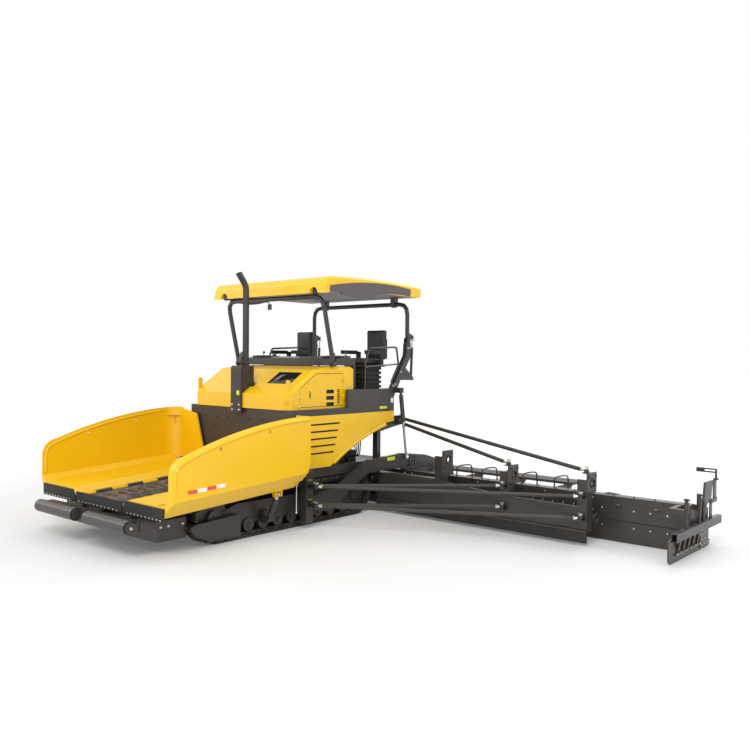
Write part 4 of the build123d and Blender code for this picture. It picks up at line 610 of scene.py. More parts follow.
def both_hands(items, name, bodies, finish, slot_name):
    """Welds the left side's pieces, mirrors them, and hands both over."""
    left = weld(items)
    right = mirror_twin(left)
    hand_over(left, name + "_left", bodies[0], finish, slot_name)
    hand_over(right, name + "_right", bodies[1], finish, slot_name)


CHASSIS = ("chassis", "chassis")
WINGS = ("wing_left", "wing_right")
ROOF = ("roof", "roof")
ROLLERS = ("push_roller_left", "push_roller_right")
SCREED = ("screed", "screed")
DOORS = ("hood_door_left", "hood_door_right")
GATES = ("end_gate_left", "end_gate_right")
print("modelling helpers ready")

# %% [markdown]
# Road reflectors are strips of film on the outer side of each hopper wing, red and white in turn.
# They follow the sill's slope, so each block is set a little higher than the one before it.

# %% Reflector strips
WING_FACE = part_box("hopper_wing_left")[1][0]
STRIP_FRONT, STRIP_REAR = -2.761, -2.164
STRIP_LOW, STRIP_RISE, STRIP_HIGH = 0.842, 0.009, 0.048
STRIP_GAP, STRIP_THICK = 0.001, 0.0016
strip_step = (STRIP_REAR - STRIP_FRONT) / 4
for first, finish, name in ((0, red_film, "red_strip"), (1, white_film, "white_strip")):
    pieces = []
    for index in (first, first + 2):
        front = STRIP_FRONT + index * strip_step
        low = STRIP_LOW + index * STRIP_RISE
        near = (WING_FACE, front + STRIP_GAP, low)
        far = (WING_FACE + STRIP_THICK, front + strip_step - STRIP_GAP, low + STRIP_HIGH)
        pieces.append(block(near, far, 0.0005, 1))
    both_hands(pieces, name, WINGS, finish, "steel")
print("strip step", round(strip_step, 3), "m")

# %% [markdown]
# The rubber aprons are held by flat bars with a row of screws. On the real hopper these bars
# show as a dotted bright line along the front edge.

# %% Apron clamps
APRON_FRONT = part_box("apron_middle")[0][1]
CLAMP_LOW, CLAMP_HIGH, CLAMP_THICK = 0.512, 0.538, 0.006
clamp_face = APRON_FRONT - CLAMP_THICK
clamps = [block((0.70, clamp_face, CLAMP_LOW), (1.525, APRON_FRONT, CLAMP_HIGH), 0.002, 1)]
both_hands(clamps, "side_apron_clamp", WINGS, forged_steel, "steel")
middle_clamp = block((-0.53, clamp_face, CLAMP_LOW), (0.53, APRON_FRONT, CLAMP_HIGH), 0.002, 1)
hand_over(middle_clamp, "middle_apron_clamp", "chassis", forged_steel, "steel")
screw_z = (CLAMP_LOW + CLAMP_HIGH) / 2
side_screws = [((0.74 + 0.083 * n, clamp_face, screw_z), FORWARD) for n in range(10)]
middle_screws = [((-0.49 + 0.098 * n, clamp_face, screw_z), FORWARD) for n in range(11)]
bolt_pair("apron_screws", WINGS, 0.016, side_screws)
bolts("apron_screws_middle", "chassis", 0.016, middle_screws)
print("apron screws", len(side_screws) * 2 + len(middle_screws))

# %% [markdown]
# The push rollers turn on shafts with a bolted washer at each end, and the beam that carries
# them is bolted through its face.

# %% Push roller bolts
ROLLER_Y, ROLLER_Z = -3.26, 0.42
roller_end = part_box("push_roller_left")[1][0]
bolt_pair("roller_bolt", ROLLERS, 0.03, [((roller_end, ROLLER_Y, ROLLER_Z), OUTWARD)])
beam_spots = grid((0.05, 1.14), (-3.13,), (0.375, 0.445), FORWARD)
bolts("push_beam_bolts", "push_beam", 0.024, both_ways(beam_spots))
box_spots = grid((1.15,), (-2.80, -2.68, -2.46), (0.36,), OUTWARD)
bolts("front_box_bolts", "chassis", 0.026, both_ways(box_spots))
print("roller shaft ends at", round(roller_end, 3))

# %% [markdown]
# Under the roof's lip sit two round work lamps in half-round notches. Each is a shallow can:
# a cylinder whose face is inset and pushed back, with a smoked lens in the recess.

# %% Roof lamps
LAMP_X, LAMP_Y, LAMP_Z, LAMP_R = 1.10, 0.03, 3.606, 0.05


def lamp_can(place, radius, depth):
    """A lamp housing that faces forward, with its reflector recess."""
    can = prism(28, radius, depth)
    recess(can, lambda centre, normal: normal.z > 0.9, radius * 0.14, (0, 0, -depth * 0.22))
    pick_faces(can, lambda centre, normal: normal.z < -0.9)
    bpy.ops.transform.resize(value=(0.72, 0.72, 1.0))
    leave_edit()
    bevel(can, 0.002, 1, 50)
    can.matrix_world = facing(beside(place, 0, depth / 2, 0), FORWARD)
    return can


can = lamp_can((LAMP_X, LAMP_Y, LAMP_Z), LAMP_R, 0.06)
both_hands([can], "roof_lamp", ROOF, *BLACK)
lens = round_bar((LAMP_X, LAMP_Y + 0.008, LAMP_Z), (LAMP_X, LAMP_Y + 0.014, LAMP_Z), LAMP_R * 0.84, 28)
both_hands([lens], "roof_lamp_lens", ROOF, tinted_glass, "liner_black")
print("lamps at", LAMP_X, LAMP_Z)

# %% [markdown]
# A small convex mirror hangs from the front arch on a bent rod, so the operator can see into
# the hopper.

# %% Hopper mirror
MIRROR_ROUTE = [(-0.177, 0.14, 3.515), (-0.12, 0.13, 3.50), (-0.055, 0.12, 3.49), (-0.048, 0.12, 3.44)]
mirror_rod = bent_tube(MIRROR_ROUTE, 0.008)
mirror_back = block((-0.095, 0.112, 3.368), (-0.002, 0.128, 3.462), 0.007, 3)
recess(mirror_back, lambda centre, normal: normal.y < -0.9, 0.008, (0, 0.003, 0))
hand_over(weld([mirror_rod, mirror_back]), "hopper_mirror", "front_arch", *BLACK)

# %% [markdown]
# The hood's sloping window shows the radiator side from the seat. It is a tinted pane in a thin
# black seal, lying in the slope of the hood.

# %% Hood window
HOOD_NOSE_Y, HOOD_NOSE_Z = -0.6, 2.0
HOOD_BREAK_Y, HOOD_BREAK_Z = -0.01, 2.385
slope = math.atan2(HOOD_BREAK_Z - HOOD_NOSE_Z, HOOD_BREAK_Y - HOOD_NOSE_Y)
WINDOW_LOW, WINDOW_HIGH = (0.42, -0.345), (0.95, -0.075)
pane_middle_y = (WINDOW_LOW[1] + WINDOW_HIGH[1]) / 2
pane_middle_z = HOOD_NOSE_Z + (pane_middle_y - HOOD_NOSE_Y) * math.tan(slope)
half_long = (WINDOW_HIGH[1] - WINDOW_LOW[1]) / math.cos(slope) / 2
half_wide = (WINDOW_HIGH[0] - WINDOW_LOW[0]) / 2
SEAL = 0.014


def on_slope(left, right, near, far, low, high):
    """A block in the hood's sloping plane: x across, y up the slope, z out of it."""
    place = ((WINDOW_LOW[0] + WINDOW_HIGH[0]) / 2, pane_middle_y, pane_middle_z)
    return set_down(block((left, near, low), (right, far, high), 0.002), place, slope, "X")


pane = on_slope(-half_wide + 0.004, half_wide - 0.004, -half_long + 0.012, half_long - 0.012, -0.014, -0.008)
hand_over(pane, "hood_window", "chassis", tinted_glass, "liner_black")
seal_bars = [
    on_slope(-half_wide, -half_wide + SEAL, -half_long, half_long, -0.012, 0.002),
    on_slope(half_wide - SEAL, half_wide, -half_long, half_long, -0.012, 0.002),
    on_slope(-half_wide, half_wide, -half_long, -half_long + SEAL, -0.012, 0.002),
    on_slope(-half_wide, half_wide, half_long - SEAL, half_long, -0.012, 0.002),
]
hand_over(weld(seal_bars), "hood_window_seal", "chassis", sheet_rubber, "rubber")
print("hood slope", round(math.degrees(slope), 1), "degrees")

# %% [markdown]
# The hopper wall is one sheet whose edge is rolled over. The roll catches the light as a bright
# line along the top and front, so a bead follows the wall's outline on its outer and its inner
# face. In the rear corner a small shelf on a rib stiffens the coved sheet.

# %% Rolled edge and corner shelf
BEAD_X, INNER_BEAD_X, BEAD_R = 1.670, 1.616, 0.021
BEAD_ROUTE = [
    # y, height
    (-2.950, 0.83),
    (-2.950, 1.07),
    (-2.915, 1.19),
    (-2.775, 1.262),
    (-2.45, 1.375),
    (-2.05, 1.482),
    (-1.65, 1.568),
    (-1.25, 1.626),
    (-0.90, 1.659),
    (-0.625, 1.670),
]
bead = bent_tube([(BEAD_X, y, z) for y, z in BEAD_ROUTE], BEAD_R, 4)
inner_bead = bent_tube([(INNER_BEAD_X, y, z) for y, z in BEAD_ROUTE[:-1]], BEAD_R, 4)
both_hands([bead, inner_bead], "wing_bead", WINGS, *BRIGHT_YELLOW)
shelf = block((-0.125, -0.030, -0.006), (0.125, 0.05, 0.006), 0.003, 1)
rib = block((-0.006, -0.022, -0.14), (0.006, 0.04, 0.0), 0.002, 1)
for item in (shelf, rib):
    set_down(item, (1.535, -0.710, 1.580), math.radians(-45), "Z")
both_hands([shelf, rib], "corner_shelf", WINGS, *BRIGHT_YELLOW)
print("bead length", round(sum(math.dist(a, b) for a, b in zip(BEAD_ROUTE, BEAD_ROUTE[1:])), 2), "m")

# %% [markdown]
# Behind every slot of the hood doors and side skirts is a near-black sheet of painted shade, which
# makes the slots read as dark openings. Each door also carries a paddle latch, three recessed
# near-black panes of painted shade and a grille of slanted blades. The hood's left front corner
# has a round lock boss.

# %% Painted shade sheets, latches and grilles
door_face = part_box("hood_door_left")[1][0] - 0.014
skirt_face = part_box("side_skirts")[1][0]
DOOR_INNER = 1.13
# Painted shade: near-black sheets behind the door and skirt slots.
door_shade_sheets = [block((DOOR_INNER - 0.006, 0.235, 1.82), (DOOR_INNER, 0.59, 2.09), 0.002, 1)]
both_hands(door_shade_sheets, "door_slot_shade_sheet", DOORS, painted_shade_black, "liner_black")
skirt_slot_shade_sheet = [block((1.216, -0.35, 1.06), (1.222, 0.50, 1.57), 0.002, 1)]
both_hands(skirt_slot_shade_sheet, "skirt_slot_shade_sheet", CHASSIS, painted_shade_black, "liner_black")
latch = [
    block((1.146, -0.123, 1.948), (1.159, -0.097, 2.034), 0.003),
    block((1.156, -0.117, 1.958), (1.163, -0.103, 2.012), 0.003),
]
both_hands(latch, "door_latch", DOORS, *BLACK)
# Painted shade: three near-black recessed panes on each door.
slot_shade_panes = []
for z in (2.040, 1.940, 1.840):
    slot_shade_pane = block((1.150, 0.250, z - 0.031), (1.158, 0.420, z + 0.031), 0.002, 1)
    recess(slot_shade_pane, lambda centre, normal: normal.x > 0.95, 0.006, (-0.003, 0, 0))
    slot_shade_panes.append(slot_shade_pane)
both_hands(slot_shade_panes, "door_slot_shade_panes", DOORS, painted_shade_black, "liner_black")
blades = []
for n in range(7):
    blade = block((-0.010, 0.502, -0.0015), (0.010, 0.568, 0.0015), 0.001, 1)
    blades.append(set_down(blade, (1.145, 0, 1.848 + n * 0.034), math.radians(35), "Y"))
both_hands(blades, "grille_blades", DOORS, *BRIGHT_YELLOW)
lock_boss = ring((1.098, -0.547, 1.905), (1, -1, 0), 0.042, 0.026, 0.012)
lock_plug = round_bar((1.094, -0.543, 1.905), (1.101, -0.550, 1.905), 0.02, 18)
hand_over(weld([lock_boss, lock_plug]), "hood_lock_boss", "chassis", *BRIGHT_YELLOW)
print("door face at", round(door_face, 3), "skirt face at", round(skirt_face, 3))

# %% [markdown]
# Some plates are plain painted sheet: yellow-green ones on the exhaust box, the deck's edge and
# the arm, and a white one beside the steps.

# %% Blank plates
DECK_FACE, ARM_SIDE = 1.25, 1.385
plates = [
    block((0.018, -0.6335, 1.975), (0.088, -0.632, 2.045), 0.0006, 1),
    block((DECK_FACE, 1.447, 1.722), (DECK_FACE + 0.0015, 1.641, 1.764), 0.0006, 1),
]
hand_over(weld(plates), "blank_green_plates", "chassis", plate_green, "steel")
white_plate = block((DECK_FACE, 1.74, 1.82), (DECK_FACE + 0.0015, 1.812, 1.90), 0.0006, 1)
hand_over(white_plate, "blank_white_plate", "chassis", plate_white, "steel")
arm_plate = block((1.318, 0.0, 0.0), (1.382, 0.34, 0.003), 0.001, 1)
set_down(arm_plate, (0, 1.44, 0.9245), math.radians(2.9), "X")
hand_over(arm_plate, "blank_arm_plate", "screed", plate_green, "steel")
side_plate = block((ARM_SIDE, 1.50, 0.845), (ARM_SIDE + 0.0015, 1.70, 0.905), 0.0006, 1)
hand_over(side_plate, "blank_arm_side_plate", "screed", plate_green, "steel")
print("blank plates set")

# %% [markdown]
# Pushing rods and top stays are turnbuckles: a plated eye with a lock nut at each end, held by a
# T-handled pin. They are the brightest pieces on the machine, so each end gets its own set. The
# two top stays also have a thick painted sleeve between their ends.

# %% Turnbuckle ends
RODS = [
    # near eye, far eye, bar radius
    ((1.480, -0.330, 0.650), (3.725, 1.353, 0.705), 0.026),
    ((1.560, -0.365, 0.650), (4.975, 1.353, 0.695), 0.026),
    ((1.480, -0.330, 0.364), (3.725, 1.353, 0.392), 0.026),
    ((1.560, -0.365, 0.364), (4.975, 1.353, 0.392), 0.026),
    ((1.225, 2.045, 1.540), (4.975, 1.530, 1.0303), 0.019),
    ((1.225, 2.020, 1.462), (3.725, 1.530, 1.0203), 0.019),
]
STUB_START, STUB_END = 0.038, 0.098
NUT_START, NUT_END = 0.078, 0.097
SLEEVE_INSET, SLEEVE_R = 0.115, 0.029
turnbuckles = []
for near, far, radius in RODS:
    for start, end in ((near, far), (far, near)):
        way = (Vector(end) - Vector(start)).normalized()
        eye = Vector(start)
        turnbuckles += [
            round_bar(eye + way * STUB_START, eye + way * STUB_END, radius * 0.86),
            round_bar(eye + way * NUT_START, eye + way * NUT_END, radius * 1.25, 6),
            round_bar(beside(eye, 0, 0, -0.045), beside(eye, 0, 0, 0.052), 0.012, 12),
            round_bar(beside(eye, -0.034, 0, 0.058), beside(eye, 0.034, 0, 0.058), 0.007, 10),
            ring(beside(eye, 0, 0, 0.041), UPWARD, 0.03, 0.0125, 0.009, 16),
        ]
both_hands(turnbuckles, "turnbuckle_ends", CHASSIS, zinc_plate, "steel")
sleeves = []
for near, far, radius in RODS[4:]:
    inset = (Vector(far) - Vector(near)).normalized() * SLEEVE_INSET
    sleeves.append(round_bar(Vector(near) + inset, Vector(far) - inset, SLEEVE_R, 24))
both_hands(sleeves, "stay_sleeves", CHASSIS, *GREY)
print("turnbuckle ends", 2 * 2 * len(RODS))

# %% [markdown]
# Each hanging bracket has a bushed eye, a row of bolts down its channel and a clamp bar that
# holds the rubber skirt to the limiting plates.

# %% Bracket bushes and bolts
BRACKETS = [
    # outer face x, top height
    (2.600, 1.120),
    (3.800, 1.000),
    (5.050, 1.010),
]
CHANNEL_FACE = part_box("limiting_plates")[0][1]
bushes = []
bracket_spots = []
for x, top in BRACKETS:
    bushes.append(ring((x - 0.015, 1.575, top - 0.15), OUTWARD, 0.0775, 0.052, 0.046, 28))
    bushes.append(ring((x + 0.004, 1.69, 0.345), OUTWARD, 0.085, 0.054, 0.012, 28))
    rows = (0.26, 0.50, 0.58, top - 0.14)
    bracket_spots += grid((x - 0.135, x - 0.015), (CHANNEL_FACE,), rows, FORWARD)
    bracket_spots += grid((x,), (1.47, 1.66), (top - 0.05,), OUTWARD)
    bracket_spots += grid((x,), (1.49,), (top - 0.28,), OUTWARD)
both_hands(bushes, "bracket_bushes", CHASSIS, forged_steel, "steel")
bolts("bracket_bolts", "chassis", 0.022, both_ways(bracket_spots), *GREY)
skirt_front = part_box("rubber_skirts")[0][1]
bar_face = skirt_front - CLAMP_THICK
clamp_bar = [block((1.27, bar_face, 0.196), (5.04, skirt_front, 0.226), 0.002, 1)]
both_hands(clamp_bar, "skirt_clamp", CHASSIS, *GREY)
clamp_spots = [((1.33 + 0.2 * n, bar_face, 0.211), FORWARD) for n in range(19)]
bolts("skirt_clamp_bolts", "chassis", 0.018, both_ways(clamp_spots), *GREY)
print("bracket bolts", 2 * len(bracket_spots), "channel face", round(CHANNEL_FACE, 3))

# %% [markdown]
# On the tow point guides are quick couplings in brass for the levelling rams' oil lines, and in
# front of them a thin white sighting rod hangs to the ground line.

# %% Couplings and sighting rod
GUIDE_FACE = 1.42
couplings = []
for z in (0.735, 0.445):
    for y in (-0.415, -0.375):
        couplings += [
            round_bar((GUIDE_FACE, y, z), (GUIDE_FACE + 0.022, y, z), 0.017, 6),
            round_bar((GUIDE_FACE + 0.022, y, z), (GUIDE_FACE + 0.052, y, z), 0.012, 14),
            ring((GUIDE_FACE + 0.046, y, z), OUTWARD, 0.016, 0.0115, 0.008, 16),
        ]
both_hands(couplings, "oil_couplings", CHASSIS, brass, "steel")
SIGHT_X, SIGHT_Y, SIGHT_R = 1.40, -0.62, 0.006
SIGHT_BEND = [(SIGHT_X, SIGHT_Y, 0.655), (SIGHT_X, -0.60, 0.70), (1.37, -0.55, 0.73), (1.35, -0.44, 0.74)]
sight = [
    round_bar((SIGHT_X, SIGHT_Y, 0.27), (SIGHT_X, SIGHT_Y, 0.66), SIGHT_R, 10),
    bent_tube(SIGHT_BEND, SIGHT_R, 2),
    round_bar((SIGHT_X, SIGHT_Y, 0.262), (SIGHT_X, SIGHT_Y, 0.285), 0.013, 12),
]
both_hands(sight, "sighting_rod", CHASSIS, plate_white, "steel")
print("couplings", 2 * len(couplings) // 3)

# %% [markdown]
# The tow arm is spliced near the screed: a doubler plate with two columns of bolts, then the
# foot that is bolted down on the screed's seat.

# %% Arm splice and foot
ARM_FACE = 1.393
SEAT_Z = 0.65
splice_spots = grid((ARM_FACE,), (2.11, 2.18, 2.25), (0.73, 0.79, 0.85), OUTWARD)
foot_spots = grid((1.293, 1.405), (2.0, 2.15, 2.45, 2.75, 2.90), (SEAT_Z,), UPWARD)
bolts("arm_splice_bolts", "screed", 0.026, both_ways(splice_spots), *GREY)
bolts("arm_foot_bolts", "screed", 0.026, both_ways(foot_spots), *GREY)
tow_pin_cap = [ring((1.397, -0.24, 0.33), OUTWARD, 0.045, 0.024, 0.010, 24)]
both_hands(tow_pin_cap, "tow_pin_cap", SCREED, zinc_plate, "steel")
print("splice bolts", 2 * len(splice_spots))

# %% [markdown]
# The screed is a row of bolted lengths. Bright bolts stand in pairs on its front wall, and near
# its end two dark lugs are bolted to that wall. Its rear bays carry burner pipes in small clips.

# %% Screed bolts and pipes
SCREED_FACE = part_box("screed")[0][1]
PAIR_X = (5.012, 5.483, 5.717, 5.952)
JOINT_X = (1.40, 1.56, 2.9, 4.1, 4.87)
front_spots = grid(PAIR_X, (SCREED_FACE,), (0.469,), FORWARD)
front_spots += grid(PAIR_X, (SCREED_FACE + 0.008,), (0.225,), FORWARD)
front_spots += grid(JOINT_X, (SCREED_FACE,), (0.42, 0.60), FORWARD)
bolts("screed_face_bolts", "screed", 0.018, both_ways(front_spots))
LUG_X, LUG_TOP = (5.259, 5.803), 0.532
lug_near, lug_far = (SCREED_FACE - 0.022, 0.505), (SCREED_FACE + 0.004, LUG_TOP)
lugs = [across(x, 0.032, lug_near, lug_far, 0.003, 1) for x in LUG_X]
both_hands(lugs, "screed_lugs", SCREED, *BLACK)
lug_bolts = [((x + side, SCREED_FACE - 0.012, LUG_TOP), UPWARD) for x in LUG_X for side in (-0.014, 0.014)]
bolts("screed_lug_bolts", "screed", 0.016, both_ways(lug_bolts))
top_spots = [((1.56 + 0.30 * n, 2.01, SEAT_Z), UPWARD) for n in range(15)]
bolts("screed_top_bolts", "screed", 0.02, both_ways(top_spots), *GREY)
burner = [
    round_bar((1.51, 2.56, 0.12), (4.92, 2.56, 0.12), 0.017, 12),
    round_bar((1.51, 2.62, 0.20), (4.92, 2.62, 0.20), 0.011, 12),
    round_bar((4.99, 2.56, 0.12), (6.05, 2.56, 0.12), 0.017, 12),
]
for x in (1.60, 2.20, 2.50, 3.10, 3.42, 4.02, 4.34, 4.86, 5.05, 5.95):
    burner.append(across(x, 0.012, (2.535, 0.042), (2.64, 0.14), 0.002, 1))
both_hands(burner, "burner_pipes", SCREED, worn_steel, "steel")
print("screed face at", round(SCREED_FACE, 3))

# %% [markdown]
# Hoops of bent bar stand behind the augers, where the crew hold on while they walk the board.
# Each has two flat feet on the screed's top.

# %% Crew hoops
HOOP_X = (1.95, 2.35, 2.85, 3.25, 3.60, 4.15)
HOOP_ROUTE = [
    # y, height
    (2.16, 0.585),
    (2.16, 0.74),
    (2.19, 0.79),
    (2.50, 0.78),
    (2.59, 0.76),
    (2.62, 0.69),
    (2.62, 0.555),
]
hoops = []
for x in HOOP_X:
    hoops.append(bent_tube([(x, y, z) for y, z in HOOP_ROUTE], 0.012))
    hoops.append(across(x, 0.03, (2.13, 0.584), (2.19, 0.597), 0.002, 1))
    hoops.append(across(x, 0.03, (2.585, 0.548), (2.65, 0.565), 0.002, 1))
both_hands(hoops, "crew_hoops", SCREED, *GREY)
print("hoops", 2 * len(HOOP_X))

# %% [markdown]
# The end gate slides on two spindles with star-shaped hand nuts. Below its square beam, wedge
# ribs stiffen the plate, and a wear plate is bolted over the rear corner.

# %% End gate details
GATE_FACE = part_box("end_gate_left")[0][0] + 0.018
SPINDLE_X = 6.312
NUT_SIDES = 12


def is_lobe(_, normal):
    """True for every second side of the nut's prism."""
    side = round(math.atan2(normal.y, normal.x) / (math.tau / NUT_SIDES) - 0.5)
    return abs(normal.z) < 0.1 and side % 2 == 0


def star_nut(place, radius, depth):
    """A hand nut: every second side of a prism is drawn outwards into a lobe."""
    nut = prism(NUT_SIDES, radius * 0.62, depth)
    pick_faces(nut, is_lobe)
    bpy.ops.mesh.extrude_faces_move(TRANSFORM_OT_shrink_fatten={"value": radius * 0.38})
    leave_edit()
    bevel(nut, 0.003, 2, 40)
    nut.matrix_world = Matrix.Translation(place)
    return nut


gate_parts = []
for y in (1.640, 2.135):
    gate_parts.append(star_nut((SPINDLE_X, y, 0.772), 0.038, 0.028))
    gate_parts.append(ring((SPINDLE_X, y, 0.70), UPWARD, 0.030, 0.0175, 0.02))
gate_parts += [
    round_bar((6.30, 2.328, 0.37), (6.30, 2.328, 0.69), 0.022),
    block((6.292, 2.585, 0.38), (6.306, 2.685, 0.66), 0.003),
    block((6.306, 2.60, 0.60), (6.318, 2.86, 0.66), 0.003),
    block((6.292, 2.73, 0.61), (6.306, 2.86, 0.92), 0.003),
]
both_hands(gate_parts, "gate_posts", GATES, *GREY)
RIB_LOW, RIB_HIGH, RIB_HALF = 0.125, 0.292, 0.035
ribs = []
for y in (1.42, 1.60, 1.78, 1.96, 2.14):
    near, far = (GATE_FACE - 0.001, y - RIB_HALF, RIB_LOW), (GATE_FACE + 0.055, y + RIB_HALF, RIB_HIGH)
    rib = block(near, far, 0.002, 1)
    pinch(rib, lambda centre, normal: normal.z < -0.7, (0.25, 0.25, 1.0), (GATE_FACE, y, RIB_LOW))
    ribs.append(rib)
ribs.append(block((GATE_FACE - 0.001, 1.33, 0.098), (GATE_FACE + 0.022, 2.26, 0.124), 0.003, 1))
ribs.append(block((GATE_FACE - 0.001, 2.27, 0.03), (GATE_FACE + 0.010, 2.61, 0.27), 0.004, 1))
both_hands(ribs, "gate_ribs", GATES, *GREY)
gate_spots = grid((GATE_FACE + 0.010,), (2.31, 2.43, 2.57), (0.07, 0.15, 0.23), OUTWARD)
gate_spots += grid((GATE_FACE + 0.022,), (1.38, 1.51, 1.69, 1.87, 2.05, 2.2), (0.111,), OUTWARD)
bolt_pair("gate_bolts", GATES, 0.02, gate_spots)
print("gate plate outer face", round(GATE_FACE, 3))

# %% [markdown]
# The gate's lifting handle is a flat bar that reaches inwards over the screed from a cranked
# post. The bar is made of two blocks. The slot for the hand is in the one nearest the crank: its
# two long faces are inset, and the insets are bridged right through.

# %% Gate handle
HANDLE_IN, HANDLE_SLOT, HANDLE_OUT = 6.035, 6.13, 6.318
HANDLE_Y, HANDLE_LOW, HANDLE_HIGH = 2.810, 1.000, 1.062
handle = block((HANDLE_SLOT, HANDLE_Y, HANDLE_LOW), (HANDLE_OUT, HANDLE_Y + 0.014, HANDLE_HIGH), 0.003, 1)
pick_faces(handle, lambda centre, normal: abs(normal.y) > 0.95)
bpy.ops.mesh.inset(thickness=0.017)
bpy.ops.mesh.bridge_edge_loops()
leave_edit()
crank = [
    handle,
    block((HANDLE_IN, HANDLE_Y, HANDLE_LOW), (HANDLE_SLOT + 0.004, HANDLE_Y + 0.014, HANDLE_HIGH), 0.003, 1),
    block((HANDLE_OUT - 0.024, HANDLE_Y - 0.002, 0.92), (HANDLE_OUT + 0.004, HANDLE_Y + 0.016, 1.055), 0.005),
    block((HANDLE_OUT - 0.034, HANDLE_Y - 0.05, 0.905), (HANDLE_OUT + 0.020, HANDLE_Y + 0.04, 0.93), 0.005),
]
both_hands(crank, "gate_handle", GATES, *BLACK)
print("handle length", round(HANDLE_OUT - HANDLE_IN, 3), "m")

# %% [markdown]
# The seats are the only soft pieces. Each has a cushion and a tapered back of vinyl over foam.
# The foam fills out its cover, so each pad starts smaller than its frame, is remeshed, and is
# blown up by a short cloth simulation with a cap on how far any point may move.

# %% Seat pads
SEAT_X, PAD_HALF = 0.89, 0.212
SWELL_PRESSURE = 4.0
SWELL_FRAMES = 20
PAD_VOXEL = 0.014
CUSHION_LOW, CUSHION_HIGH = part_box("seat_cushions")[0][2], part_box("seat_cushions")[0][2] + 0.110
BACK_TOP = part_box("seat_cushions")[1][2]
BACK_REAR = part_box("seat_cushions")[1][1]


def swell(item, cap):
    """Remeshes a pad and lets cloth pressure round it, within a cap on how far it moves."""
    only(item)
    modify(item, "REMESH", mode="VOXEL", voxel_size=PAD_VOXEL)
    start = [vertex.co.copy() for vertex in item.data.vertices]
    cloth = item.modifiers.new("foam", "CLOTH")
    cloth.settings.use_pressure = True
    cloth.settings.uniform_pressure_force = SWELL_PRESSURE
    cloth.settings.effector_weights.gravity = 0.0
    cloth.settings.tension_stiffness = 30
    cloth.point_cache.frame_start = 1
    cloth.point_cache.frame_end = SWELL_FRAMES
    for frame_number in range(1, SWELL_FRAMES + 1):
        bpy.context.scene.frame_set(frame_number)
    bpy.ops.object.modifier_apply(modifier=cloth.name)
    bpy.context.scene.frame_set(1)
    for vertex, before in zip(item.data.vertices, start):
        shift = vertex.co - before
        if shift.length > cap:
            vertex.co = before + shift.normalized() * cap
    modify(item, "SMOOTH", factor=0.5, iterations=6)
    modify(item, "SUBSURF", levels=1, render_levels=1)


def seat_pad(name, x, near, far, taper):
    """A vinyl pad with rounded edges, tapered upwards when it is a back."""
    low, high = (x - PAD_HALF, *near), (x + PAD_HALF, *far)
    pad = block(low, high, 0.022, 3)
    middle = (Vector(low) + Vector(high)) / 2
    if taper < 1.0:
        pinch(pad, lambda centre, normal: centre.z > high[2] - 0.05, (taper, 1.0, 1.0), middle)
    swell(pad, 0.012)
    hand_over(pad, name, "chassis", seat_vinyl, "seat_black", 60)
    return pad


CUSHION = ((1.262, CUSHION_LOW + 0.008), (1.692, CUSHION_HIGH - 0.012), 1.0)
BACKREST = ((1.733, CUSHION_LOW + 0.075), (BACK_REAR - 0.012, BACK_TOP - 0.014), 0.80)
for side, label in ((1, "left"), (-1, "right")):
    seat_pad("cushion_" + label, side * SEAT_X, *CUSHION)
    seat_pad("backrest_" + label, side * SEAT_X, *BACKREST)
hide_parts("seat_cushions")

# %% [markdown]
# Behind the pads the seat keeps its hard pieces: a moulded back shell, two hinge arms that join
# the back to the pan, and rounded grips on the armrests.

# %% Seat shells and grips
SHELL = ((BACK_REAR - 0.022, CUSHION_LOW + 0.10), (BACK_REAR - 0.004, CUSHION_LOW + 0.44))
HINGE = ((1.70, CUSHION_LOW + 0.002), (1.735, CUSHION_LOW + 0.18))
shell_parts = []
for side in (1, -1):
    x = side * SEAT_X
    shell_parts.append(across(x, 0.20, *SHELL, 0.008, 3))
    shell_parts.append(across(x - 0.15, 0.04, *HINGE, 0.006))
    shell_parts.append(across(x + 0.15, 0.04, *HINGE, 0.006))
    for arm in (-1, 1):
        shell_parts.append(across(x + arm * 0.271, 0.027, (1.165, 2.688), (1.56, 2.712), 0.010, 4))
hand_over(weld(shell_parts), "seat_shells", "chassis", *BLACK)
print("seat shell parts", len(shell_parts))

# %% [markdown]
# The console is a desk across the platform. At both ends is a control panel with a flat screen,
# two rows of push buttons, a drive lever and a small steering knob.

# %% Control panels
DESK_TOP, PANEL_X = 2.600, 0.86
BUTTON_STEP_X, BUTTON_STEP_Y = 0.06, 0.05
panel_parts = []
button_parts = []
lever_parts = []
for side in (1, -1):
    x = side * PANEL_X
    panel_parts.append(across(x, 0.22, (0.62, DESK_TOP - 0.012), (0.90, DESK_TOP + 0.012), 0.008, 3))
    for row in range(2):
        for column in range(6):
            spot = (x - 0.15 + BUTTON_STEP_X * column, 0.73 + BUTTON_STEP_Y * row, DESK_TOP + 0.010)
            button_parts.append(round_bar(spot, beside(spot, 0, 0, 0.010), 0.014, 14, 0.002))
    grip = (x + side * 0.16, 0.84, DESK_TOP + 0.010)
    knob = (x - side * 0.13, 0.845, DESK_TOP + 0.010)
    lever_parts += [
        round_bar(grip, beside(grip, 0, 0.01, 0.05), 0.007, 12),
        round_bar(beside(grip, 0, 0.01, 0.04), beside(grip, 0, 0.014, 0.08), 0.019, 16, 0.006),
        ring(beside(grip, 0, 0, 0.004), UPWARD, 0.034, 0.010, 0.012),
        round_bar(knob, beside(knob, 0, 0, 0.03), 0.036, 24, 0.004),
        round_bar(beside(knob, 0.022, 0, 0.03), beside(knob, 0.022, 0, 0.055), 0.010, 14, 0.003),
    ]
hand_over(weld(panel_parts), "control_panels", "chassis", panel_plastic, "dark_grey")
hand_over(weld(button_parts), "panel_buttons", "chassis", plate_white, "steel")
hand_over(weld(lever_parts), "panel_levers", "chassis", *BLACK)
